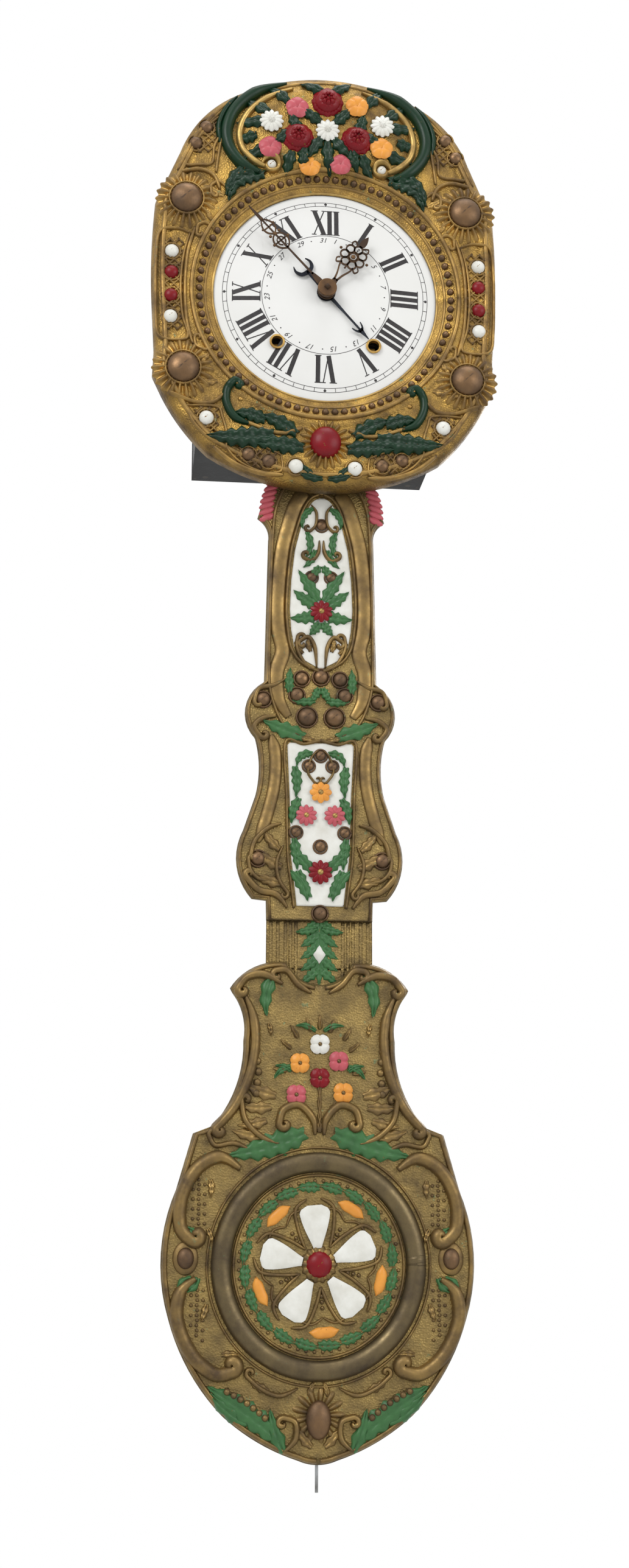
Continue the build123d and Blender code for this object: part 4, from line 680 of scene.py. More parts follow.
def head_sides():
    """Corner rosettes, the lattice panels with their bosses and frames, and the gold scrollwork."""
    rosettes, domes, rims = Shape(), Shape(), Shape()
    turns = np.linspace(0, 2 * pi, 49)
    for x, z in ((136, 90), (136, -86)):
        rosette(rosettes, x, z, head_ground(x, z) - 1.2, 13, 29, 22, 5.4)
        cap(domes, x, z, head_ground(x, z) + 1.5, 15.5, 9.5, around=44)
        band(rims, ring_path(x, z, 16.6, turns), 2.4, 2.6, head_ground, (1, 1), lift=2.0)
    piece("corner_rosettes", rosettes.mirror(), brass_relief, "case")
    piece("corner_domes", domes.mirror(), brass_dark, "case")
    piece("corner_rings", rims.mirror(), brass_relief, "case")
    net = Shape()
    lattice(net, 138, 158, -46, 50, 8.5)
    lattice(net, 108, 130, 142, 180, 8.0)
    lattice(net, 102, 124, -150, -122, 8.0)
    lattice(net, 46, 84, -184, -162, 8.0)
    piece("head_lattice", net.mirror(), brass_relief, "case")
    for name, finish, places in (
        ("side_white_bosses", white, [(149, 36, 6.6), (149, -32, 6.6), (113, -134, 7.0)]),
        ("side_red_bosses", crimson, [(149, 14, 6.6), (149, -10, 6.6)]),
        ("head_plain_bosses", brass_dark, [(118, 170, 6.4), (128, 152, 6.4), (54, -175, 6.4), (73, -169, 6.4)]),
        ("head_ring_bosses", white, [(28, -179, 7)]),
    ):
        shape = Shape()
        for x, z, r in places:
            cap(shape, x, z, head_ground(x, z) + 0.5, r, r * 0.72)
        piece(name, shape.mirror(), finish, "case")
    frames = Shape()
    for points, width, height in (
        ([(132, 56), (146, 60), (161, 56), (164, 30), (164, -2), (163, -32), (160, -52), (146, -56), (132, -52),
          (137.5, -30), (140, 2), (137.5, 34), (132, 56)], 3.4, 3.2),
        ([(127, 62), (134, 36), (136, 2), (134, -34), (127, -60)], 4.0, 3.6),
        ([(101, 186), (116, 172), (129, 152), (138, 130), (126, 129), (112, 132), (110, 150), (102, 168),
          (101, 186)], 3.4, 3.2),
        ([(92, 202), (110, 185), (129, 158), (145, 122)], 4.2, 3.6),
        ([(104, 104), (110, 118), (124, 124), (144, 120)], 4.4, 4.0),
        ([(108, 122), (106, 140), (103, 158), (98, 172)], 3.6, 3.2),
        ([(96, -108), (108, -118), (126, -118), (150, -110)], 4.4, 4.0),
        ([(132, -122), (124, -140), (106, -156), (94, -152), (98, -132), (104, -122), (132, -122)], 3.2, 3.0),
        ([(40, -188), (62, -187), (86, -178), (106, -162)], 4.2, 3.6),
        ([(42, -168), (60, -160), (80, -157), (94, -160), (82, -176), (60, -186), (42, -184), (42, -168)], 3.0, 3.0),
        ([(22, -140), (40, -146), (58, -143), (76, -136)], 5.0, 4.0),
    ):
        band(frames, smooth_path(points), width, height, head_ground, (0.6, 0.6))
    piece("head_frames", frames.mirror(), brass_relief, "case")
    work = Shape()
    for points, width, side in (
        ([(96, 104), (104, 112), (112, 108), (112, 98)], 4.0, -1),
        ([(108, 60), (116, 66), (124, 64), (126, 56)], 3.6, -1),
        ([(108, -62), (116, -66), (124, -62), (126, -54)], 3.6, 1),
    ):
        band(work, curl(smooth_path(points), 3.6, 0.8, side), width, 3.4, head_ground, (0.35, 0.4))
    for x, z, angle, size in ((100, 98, 20, 18), (112, 104, -10, 16), (104, -96, -20, 18), (118, -104, 10, 14),
                              (112, 70, 60, 14), (112, -70, -60, 14)):
        leaf(work, x, z, angle, size, size * 0.5, head_ground, 20, 3, 2.4, 0.3)
    piece("head_gold_scrolls", work.mirror(), brass_relief, "case")


def head_foot():
    """The red boss in its flower under the dial, and the acanthus that sweeps up from it."""
    flower, boss, rings, green = Shape(), Shape(), Shape(), Shape()
    rosette(flower, 0, -154, head_ground(0, -154) - 1.2, 12, 26, 20, 6.0)
    piece("foot_flower", flower, brass_relief, "case")
    cap(boss, 0, -154, head_ground(0, -154) + 1.5, 15, 9.5, stretch=1.05, around=36)
    piece("foot_boss", boss, crimson, "case")
    turns = np.linspace(0, 2 * pi, 41)
    for x, z, r in ((28, -179, 8.8), (54, -175, 7.8), (73, -169, 7.8), (113, -134, 9.0), (149, 36, 8.2),
                    (149, 14, 8.2), (149, -10, 8.2), (149, -32, 8.2), (118, 170, 8.0), (128, 152, 8.0)):
        band(rings, ring_path(x, z, r, turns), 2.2, 2.2, head_ground, (1, 1))
    piece("boss_rings", rings.mirror(), brass_relief, "case")
    leaf(green, 22, -160, 10, 50, 22, head_ground, -16, 5, 5.0, 1.2)
    leaf(green, 50, -148, -12, 64, 26, head_ground, 18, 6, 5.4, 1.6)
    leaf(green, 28, -146, 38, 40, 19, head_ground, -24, 4, 5.0, 1.0)
    leaf(green, 58, -134, 30, 32, 18, head_ground, -40, 4, 4.6, 1.0)
    stem = smooth_path([(72, -138), (86, -132), (94, -118), (94, -104), (88, -96)])
    band(green, curl(stem, 4.5, 0.8, 1), 8.5, 5.5, head_ground, (0.4, 0.5))
    leaf(green, 3, -190, -4, 24, 9, head_ground, 36, 3, 3.4, 0.8)
    leaf(green, 12, -186, 30, 14, 8, head_ground, 30, 3, 3.0, 0.6)
    piece("foot_acanthus", green.mirror(), green_dark, "case")


# Dial printing
DIAL_OUT, DIAL_DOME = 180.0, 8.4
dial_sphere = (SIGHT ** 2 + DIAL_DOME ** 2) / (2 * DIAL_DOME)


def dial_ground(x, z):
    """How far out the enamel lies."""
    r = min(hypot(x, z), SIGHT)
    return DIAL_OUT + sqrt(dial_sphere ** 2 - r * r) - (dial_sphere - DIAL_DOME)


def stroke(shape, path, widths, ground, lift=0.14, depth=0.3):
    """A flat stroke of changing width, with square edges, along a path."""
    path = np.asarray(path, float)
    along = np.gradient(path, axis=0)
    along /= np.linalg.norm(along, axis=1)[:, None] + 1e-9
    across = np.stack([-along[:, 1], along[:, 0]], axis=1)
    widths = np.interp(np.linspace(0, 1, len(path)), np.linspace(0, 1, len(widths)), widths)
    rows = []
    for at, side, width in zip(path, across, widths):
        row = []
        for reach, level in ((1, lift), (-1, lift), (-1, lift - depth), (1, lift - depth)):
            x, z = at + side * reach * width / 2
            row.append((x, z, ground(x, z) + level))
        rows.append(row)
    shape.grid(rows, ring=True)
    shape.add(rows[0], [(0, 1, 2, 3)])
    shape.add(rows[-1], [(0, 1, 2, 3)])


NUMERAL_FOOT, NUMERAL_HEAD = 63.5, 90.0
THICK, HAIR = 4.3, 1.0
letter_widths = {"I": 6.6, "V": 14.0, "X": 14.0}
letter_strokes = {
    "I": [((0, 0), (0, 1), THICK)],
    "V": [((-4.6, 1), (0.3, 0), THICK), ((5.0, 1), (0.5, 0), HAIR)],
    "X": [((-4.6, 1), (4.6, 0), THICK), ((4.8, 1), (-4.8, 0), HAIR)],
}
letter_serifs = {
    "I": [(0, 0, 6.2), (0, 1, 6.2)],
    "V": [(-4.6, 1, 7.0), (5.0, 1, 4.6)],
    "X": [(-4.6, 1, 7.0), (4.8, 1, 4.6), (-4.8, 0, 4.6), (4.6, 0, 7.0)],
}


def dial_printing():
    marks = Shape()
    height = NUMERAL_HEAD - NUMERAL_FOOT
    numerals = ("XII", "I", "II", "III", "IIII", "V", "VI", "VII", "VIII", "IX", "X", "XI")

    def placed(angle, u, level):
        r = NUMERAL_FOOT + level * height
        return (r * sin(angle) + u * cos(angle), r * cos(angle) - u * sin(angle))

    for hour, word in enumerate(numerals):
        angle = 2 * pi * hour / 12
        width = sum(letter_widths[c] for c in word)
        at = -width / 2
        for letter in word:
            middle = at + letter_widths[letter] / 2
            at += letter_widths[letter]
            for (u0, v0), (u1, v1), thick in letter_strokes[letter]:
                line = [placed(angle, middle + u0 + (u1 - u0) * s, v0 + (v1 - v0) * s)
                        for s in np.linspace(0, 1, 9)]
                stroke(marks, line, [thick, thick], dial_ground)
            for u, level, length in letter_serifs[letter]:
                line = [placed(angle, middle + u + length * s, level) for s in (-0.5, -0.25, 0, 0.25, 0.5)]
                stroke(marks, line, [0.9, 0.9], dial_ground)
    turns = np.linspace(0, 2 * pi, 241)
    for radius, width in ((95.6, 0.45), (99.6, 0.45), (62.0, 0.45)):
        circle = np.stack([radius * np.sin(turns), radius * np.cos(turns)], axis=1)
        stroke(marks, circle, [width, width], dial_ground)
    minute_ring, day_ring = 97.6, 57.0
    for minute in range(60):
        a = 2 * pi * minute / 60
        line = [(r * sin(a), r * cos(a)) for r in (95.7, minute_ring, 99.5)]
        stroke(marks, line, [0.5, 0.5], dial_ground)
        if minute % 5 == 0:
            cap(marks, minute_ring * sin(a), minute_ring * cos(a), dial_ground(minute_ring, 0) - 0.05, 1.5, 0.25,
                rings=3, around=14)
    for place in range(31):
        a = 2 * pi * (place + 0.75) / 31
        if place % 2:
            cap(marks, day_ring * sin(a), day_ring * cos(a), dial_ground(day_ring, 0) - 0.05, 0.75, 0.2,
                rings=3, around=8)
            continue
        letters = bpy.data.curves.new("day", "FONT")
        letters.body = str(place + 1)
        letters.align_x = "CENTER"
        letters.size = 7.2
        letters.shear = 0.32
        letters.extrude = 0.12
        holder = bpy.data.objects.new("day", letters)
        flat = bpy.data.meshes.new_from_object(holder)
        points = []
        for vertex in flat.vertices:
            u, v, w = vertex.co
            r = 54.6 + v
            x, z = r * sin(a) + u * cos(a), r * cos(a) - u * sin(a)
            points.append((x, z, dial_ground(x, z) + w))
        marks.add(points, [tuple(p.vertices) for p in flat.polygons])
        bpy.data.objects.remove(holder)
        bpy.data.curves.remove(letters)
        bpy.data.meshes.remove(flat)
    piece("dial_printing", marks, ink, "case", smooth=False)


# Hands: local places are across and along the hand
def hand_place(turn):
    a = radians(turn)
    return lambda u, v: (u * cos(a) + v * sin(a), -u * sin(a) + v * cos(a))


def hand_tools(shape, turn, back, thick):
    """The strokes, rings and knobs of one hand."""
    place = hand_place(turn)

    def level(x, z):
        return back + thick

    def line(points, widths, smooth=True):
        path = smooth_path(points, 6) if smooth and len(points) > 2 else np.array(
            [np.array(points[0]) * (1 - s) + np.array(points[-1]) * s for s in (0, 0.25, 0.5, 0.75, 1)])
        stroke(shape, [place(u, v) for u, v in path], widths, level, 0.0, thick)

    def loop(u, v, radius, width, stretch=1.0):
        turns = np.linspace(0, 2 * pi, 25)
        stroke(shape, [place(u + radius * cos(t), v + radius * stretch * sin(t)) for t in turns], [width, width],
               level, 0.0, thick)

    def knob(u, v, radius):
        x, z = place(u, v)
        cap(shape, x, z, back + thick * 0.5, radius, thick * 1.1, rings=5, around=16)
        cap(shape, x, z, back + thick * 0.5, radius, -thick * 0.5, rings=3, around=16)

    return line, loop, knob


def hands():
    thick = 1.2
    minute = Shape()
    line, loop, knob = hand_tools(minute, 317.5, 196.8, thick)
    loop(0, 0, 6.2, 4.6)
    line([(0, 7), (0, 22)], [5.5, 6.4, 4.6, 2.4], False)
    line([(0, 20), (0, 58)], [2.0, 1.5], False)
    for side in (-1, 1):
        line([(0, 56), (side * 5.4, 60), (side * 7.4, 66), (side * 5.0, 72), (0, 75)], [1.5, 1.6, 1.5])
        line([(0, 75), (side * 4.6, 79), (side * 5.8, 85), (side * 3.2, 91), (0, 94)], [1.5, 1.5, 1.3])
        line([(side * 1.6, 61), (side * 4.0, 64), (side * 3.0, 68.5), (0.3 * side, 70)], [1.1, 1.0])
        line([(0, 66), (side * 6.6, 66)], [1.3, 1.3], False)
        line([(0, 84), (side * 5.2, 84)], [1.2, 1.2], False)
        knob(side * 8.6, 66, 1.5)
        knob(side * 5.4, 75.2, 1.6)
        knob(side * 6.6, 85, 1.2)
    line([(0, 56), (0, 94)], [1.7, 1.4], False)
    knob(0, 75, 2.2)
    knob(0, 95, 2.0)
    line([(0, 94), (0, 113)], [3.4, 2.6, 0.5], False)
    piece("minute_hand_pierced", minute, hand_brass, "minute", ("minute_hand",), smooth=False)

    hour = Shape()
    line, loop, knob = hand_tools(hour, 35, 193.4, thick)
    loop(0, 0, 6.9, 3.9)
    line([(0, 8), (0, 16)], [7.0, 5.0], False)
    for side in (-1, 1):
        line([(side * 1.2, 14), (side * 3.0, 22), (side * 6.0, 30), (side * 6.6, 35)], [2.0, 1.5, 1.6])
        line([(side * 6.6, 34), (side * 10.5, 31.5), (side * 12.4, 35), (side * 10.0, 37.6)], [1.5, 1.1])
        line([(side * 3.2, 57.5), (side * 7.4, 60), (side * 9.2, 56.6), (side * 7.0, 54.6)], [1.5, 1.1])
        knob(side * 15.2, 46, 1.5)
    for n in range(7):
        a = 2 * pi * n / 7 + pi / 2
        loop(8.9 * cos(a), 45 + 8.9 * sin(a), 4.1, 1.6)
    loop(0, 45, 4.2, 1.7)
    knob(0, 45, 2.4)
    line([(0, 30), (0, 36)], [1.6, 1.6], False)
    line([(0, 57), (0, 71)], [2.6, 7.4, 5.4, 0.5], False)
    piece("hour_hand_pierced", hour, hand_brass, "hour", ("hour_hand",), smooth=False)

    day = Shape()
    line, loop, knob = hand_tools(day, 138.5, 190.0, thick)
    loop(0, 0, 7.8, 2.6)
    line([(0, 8), (0, 50)], [3.4, 1.9, 1.7], False)
    line([(0, 49), (0, 62)], [5.4, 2.6, 0.5], False)
    for side in (-1, 1):
        line([(side * 0.5, 52), (side * 3.6, 48.5), (side * 5.2, 43.5)], [2.6, 1.6, 0.5])
        line([(0, -27), (side * 6.2, -28.5), (side * 9.0, -34), (side * 7.4, -39.5)], [4.4, 3.2, 0.6])
    line([(0, -8), (0, -28)], [3.2, 2.4], False)
    piece("calendar_hand_steel", day, slot_finishes["dark_steel"], "calendar", ("calendar_hand",),
          smooth=False)
    pin = Shape()
    cap(pin, 0, 0, 202.0, 3.4, 4.2, rings=5, around=4)
    piece("hand_nut_tip", pin, hand_brass, "minute")


# Pendulum's upper plate
UPPER_BACK, UPPER_FACE, FOOT_FACE = 147.2, 154.2, 150.1
upper_runs = [
    [(0, -150), (48, -150)], [(48, -150), (52, -185)], [(52, -185), (61, -218)],
    [(61, -218), (53, -226), (50.5, -240)], [(50.5, -240), (53, -380)], [(53, -380), (70.6, -408), (61, -434)],
    [(61, -434), (57, -460), (60, -489)], [(60, -489), (71, -522)], [(71, -522), (76.8, -553), (62, -586)],
    [(62, -586), (49.3, -586)], [(49.3, -586), (48.8, -605)], [(48.8, -605), (0, -605)],
]
upper_line = outline(upper_runs)
arch_line = [(0, -196), (8, -200), (14, -210), (20, -229), (25, -250), (28.3, -280), (29.5, -309), (28, -330),
             (25, -346), (17, -358), (0, -367)]
panel_line = [(28, -438), (31, -441), (28.5, -490), (27, -545), (24, -570), (21.5, -593)]


def upper_ground(x, z):
    """How far out the upper plate's ground lies."""
    half = half_width(upper_line, z)
    edge = max(0.0, 4.5 - (half - abs(x)))
    return UPPER_FACE - 0.9 * (4.5 - sqrt(max(0.0, 20.25 - min(edge, 4.5) ** 2)))


def row_sheet(top, bottom, rows, columns, half, ground, skirt=None):
    """A sheet of rows between two heights, each as wide as the outline there."""
    shape = Shape()
    net = []
    for z in np.linspace(top, bottom, rows):
        w = float(half(z))
        row = [(u * w, z, ground(u * w, z)) for u in np.linspace(-1, 1, columns)]
        if skirt is not None:
            row = [(-w, z, skirt)] + row + [(w, z, skirt)]
        net.append(row)
    if skirt is not None:
        net.insert(0, [(x, z, skirt) for x, z, out in net[0]])
        net.append([(x, z, skirt) for x, z, out in net[-1]])
    shape.grid(net)
    return shape


def upper_plate():
    sheet = row_sheet(-150, -605, 330, 64, lambda z: half_width(upper_line, z), upper_ground, UPPER_BACK + 0.1)
    piece("upper_plate_sheet", sheet, bob_ground_brass, "pendulum", ("upper_plate",), thicken=1.0)

    def foot_ground(x, z):
        return FOOT_FACE

    foot = row_sheet(-604, -650, 16, 40, lambda z: 48.6, foot_ground, UPPER_BACK + 0.1)
    tongue = row_sheet(-649, -669, 12, 30, lambda z: 33.9, foot_ground, UPPER_BACK + 0.1)
    foot.add(tongue.points, tongue.faces)
    for x, bottom in ((21.5, -667), (26.5, -667), (31.0, -667), (38, -649), (44.5, -649)):
        for side in (-1, 1):
            band(foot, [(side * x, z) for z in np.linspace(-606, bottom, 8)], 3.6, 1.6, foot_ground, (1, 1))
    piece("upper_plate_foot", foot, bob_ground_brass, "pendulum")

    def white_ground(x, z):
        return upper_ground(x, z) + 1.0

    white_back = UPPER_FACE - 0.5
    white_panels = row_sheet(-197, -366.5, 80, 24, lambda z: half_width(arch_line, z) + 0.2, white_ground, white_back)
    lower = row_sheet(-439, -592, 70, 24, lambda z: half_width(panel_line, z), white_ground, white_back)
    white_panels.add(lower.points, lower.faces)
    piece("white_panels", white_panels, white, "pendulum")

    channel, gold = Shape(), Shape()
    arch = np.array(arch_line)
    outer = inset_path(arch, -12.0)[1:9]
    side_run = smooth_path([*outer, (42, -372), (40, -396), (30, -414)])
    band(channel, side_run, 15, 3.4, upper_ground, (0.8, 0.5), sides=12)
    low_run = smooth_path([(46, -432), (42, -452), (43, -480), (50, -510), (58, -534)])
    band(channel, low_run, 12, 3.6, upper_ground, (0.4, 0.4), sides=12)
    piece("plate_channels", channel.mirror(), bob_relief_brass, "pendulum")
    rim = closed(inset_path(arch, -3.4))
    band(gold, smooth_path(np.vstack([rim, rim[:1]]), 3), 3.4, 4.2, upper_ground, (1, 1))
    side_rib = smooth_path([(30, -176), (43, -206), (46.6, -240), (48.4, -300), (49, -360), (47, -392), (36, -420),
                            (20, -432)])
    band(gold, side_rib, 3.4, 4.0, upper_ground, (0.7, 0.5))
    band(gold, inset_path(upper_line[1:-1], 2.8), 3.4, 2.4, upper_ground, (1, 1))
    panel_edge = np.array([(0, -436), (16, -440), (33, -439), (31.4, -490), (30, -545), (27, -570), (24, -594)])
    band(gold, smooth_path(panel_edge), 3.2, 4.0, upper_ground, (1, 1))
    for points, side, width in (
        ([(10, -204), (5, -212), (5.5, -224), (10, -230)], 1, 3.2),
        ([(2, -240), (3, -252), (9, -260), (16, -258)], 1, 4.0),
        ([(4, -366), (6, -346), (12, -336), (20, -340)], -1, 4.4),
        ([(10, -368), (18, -358), (23, -346), (22, -336)], 1, 4.0),
        ([(34, -378), (44, -384), (58, -388), (62, -400)], -1, 5.0),
        ([(42, -414), (54, -416), (62, -424), (56, -434)], -1, 5.6),
        ([(2, -446), (8, -452), (12, -466), (6, -476)], -1, 2.6),
        ([(36, -516), (48, -520), (60, -532), (64, -546)], -1, 5.0),
        ([(30, -594), (40, -582), (56, -578), (68, -566)], 1, 6.5),
        ([(34, -536), (40, -552), (38, -568), (30, -580)], 1, 4.0),
        ([(44, -570), (56, -568), (64, -560), (66, -550)], 1, 4.2),
    ):
        band(gold, curl(smooth_path(points), 3.8, 0.9, side), width, 4.0, upper_ground, (0.35, 0.4), lift=0.9)
    for x, z, angle, size in ((38, -540, 40, 24), (36, -556, 20, 28), (36, -572, 8, 26), (10, -350, 70, 15),
                              (17, -352, 40, 14), (6, -436, 0, 16)):
        leaf(gold, x, z, angle, size, size * 0.5, upper_ground, 24, 3, 3.0, 1.2)
    piece("upper_gold_work", gold.mirror(), bob_relief_brass, "pendulum")

    green, buds = Shape(), Shape()
    for x, z, angle, length, width, bend in (
        (8, -208, -20, 26, 9, -95), (14, -232, -120, 28, 9, 70), (6, -250, -80, 22, 9, 50), (2, -266, -60, 18, 10, 20),
        (3, -300, 62, 36, 15, -10), (4, -306, 30, 28, 15, 10), (4, -314, -20, 27, 15, 24), (2, -322, -62, 16, 12, 20),
        (29, -390, 84, 24, 11, 14), (2, -386, -70, 16, 10, 20), (6, -398, -12, 22, 10, 24),
        (16, -433, 18, 42, 19, 6), (8, -449, 10, 22, 10, -110), (24, -462, -104, 30, 12, 26),
        (20, -492, -60, 26, 12, -30), (8, -560, 56, 30, 13, -20), (24, -530, -100, 30, 12, 10),
        (10, -584, 62, 34, 13, -20), (20, -560, -112, 30, 12, 10), (3, -612, -20, 20, 10, 20),
    ):
        leaf(green, x, z, angle, length, width, upper_ground, bend, 4, 3.0, 1.6)
    piece("upper_green_leaves", green.mirror(), green_mid, "pendulum")
    ribbon = Shape()
    for n in range(8):
        z = -176 - 6.0 * n
        x = 43 + 9.5 * sin(n * 0.28)
        cap(ribbon, x, z, upper_ground(x, z) - 0.3, 8.2, 3.0, stretch=0.42, turn=-24, rings=5, around=18)
    piece("pink_ribbons", ribbon.mirror(), pink, "pendulum")
    sides = [(9.2, -277, 4.8), (13, -414, 8.4), (18, -377, 6.2), (22.5, -393, 6.2), (54, -398, 6.4),
             (57.4, -549, 6.4), (11, -461, 4.6), (22.5, -524, 4.8)]
    middle = [(0, -225, 5.0, 1.2), (0, -375, 6.6, 1), (0, -451, 4.8, 1), (0, -537, 5, 1), (0, -599, 6, 1)]
    turns = np.linspace(0, 2 * pi, 33)
    for x, z, r in sides + [(-x, z, r) for x, z, r in sides] + [place[:3] for place in middle]:
        cap(buds, x, z, upper_ground(x, z) + 1.6, r, r * 0.66)
        circle = np.stack([x + (r + 1.2) * np.cos(turns), z + (r + 1.2) * np.sin(turns)], axis=1)
        band(buds, circle, 2.2, 2.0, upper_ground, (1, 1), sides=5, lift=0.9)
    piece("upper_bosses", buds, brass_dark, "pendulum")
    eyes = Shape()
    for name, finish, flowers in (
        ("upper_red_daisies", crimson, [(0, -311, 11, 10), (0, -561, 11.5, 10)]),
        ("upper_yellow_daisy", orange, [(0, -486, 10.5, 8)]),
        ("upper_pink_daisies", pink, [(-13.2, -508, 10.2, 10), (13.2, -508, 10.2, 10)]),
    ):
        shape = Shape()
        for x, z, r, petals in flowers:
            daisy(shape, x, z, upper_ground(x, z) + 3.4, r, petals, 2.4)
            cap(eyes, x, z, upper_ground(x, z) + 4.0, r * 0.26, 2.4)
        piece(name, shape, finish, "pendulum")
    piece("upper_daisy_eyes", eyes, brass_bright, "pendulum")

    strip = Shape()
    for n in range(5):
        z = -604 - 11 * n
        leaf(strip, 1, z, -52, 22, 12, foot_ground, 24, 4, 2.2, 0.3)
    leaf(strip, 0, -610, -90, 56, 14, foot_ground, 0, 7, 1.6, 0.3)
    piece("foot_green_strip", strip.mirror(), green_mid, "pendulum")
    lozenge = Shape()
    cap(lozenge, 0, -636, 150.9, 6, 3.0, 1.5, rings=3, around=4)
    piece("foot_white_lozenge", lozenge, white, "pendulum")


# Bob
BOB_BACK, BOB_FACE = 151.7, 157.7
RING_X, RING_Z, RING_AT = 94.5, 97.8, -911.0
bob_runs = [
    [(0, -664), (30, -644)], [(30, -644), (60, -649), (81.7, -669)], [(81.7, -669), (70, -690), (68.5, -715)],
    [(68.5, -715), (77, -762), (95, -791)], [(95, -791), (112, -797)], [(112, -797), (126, -846)],
    [(126, -846), (138.5, -905), (131, -956)], [(131, -956), (112, -1000), (83, -1037)],
    [(83, -1037), (50, -1060), (17, -1074)], [(17, -1074), (0, -1077.5)],
]
bob_line = outline(bob_runs)
BOB_CENTRE = (0.0, -760.0)
bob_reach_angles = np.linspace(0, 2 * pi, 720, endpoint=False)
bob_reach = reach_at(closed(bob_line), BOB_CENTRE, bob_reach_angles)


def bob_ground(x, z):
    """How far out the bob's ground lies."""
    angle = atan2(x - BOB_CENTRE[0], z - BOB_CENTRE[1]) % (2 * pi)
    far = float(np.interp(angle, bob_reach_angles, bob_reach, period=2 * pi))
    edge = max(0.0, 5 - (far - hypot(x - BOB_CENTRE[0], z - BOB_CENTRE[1])))
    return BOB_FACE - 0.8 * (5 - sqrt(max(0.0, 25 - min(edge, 5) ** 2)))


def ring_point(angle, scale=1.0):
    return (RING_X * scale * cos(angle), RING_AT + RING_Z * scale * sin(angle))


def spatula(shape, angle, start, length, width):
    """A bob petal: narrow at its root, wide and blunt at its end, nearly flat."""
    a = radians(angle)
    rows = []
    for s in np.linspace(0, 1, 12):
        half = 3.5 + (width / 2 - 3.5) * sin(s * pi / 2) ** 1.1
        if s > 0.8:
            half *= sqrt(max(0.0, 1 - 0.8 * ((s - 0.8) / 0.2) ** 2.2))
        row = []
        for t in np.linspace(-1, 1, 7):
            u, v = start + s * length, t * half
            edge = 1.4 * (1 - t ** 6) * (1 if 0 < s < 1 else 0)
            row.append((cos(a) * u - sin(a) * v, RING_AT + sin(a) * u + cos(a) * v, BOB_FACE + 1.6 + edge))
        rows.append(row)
    shape.grid(rows)


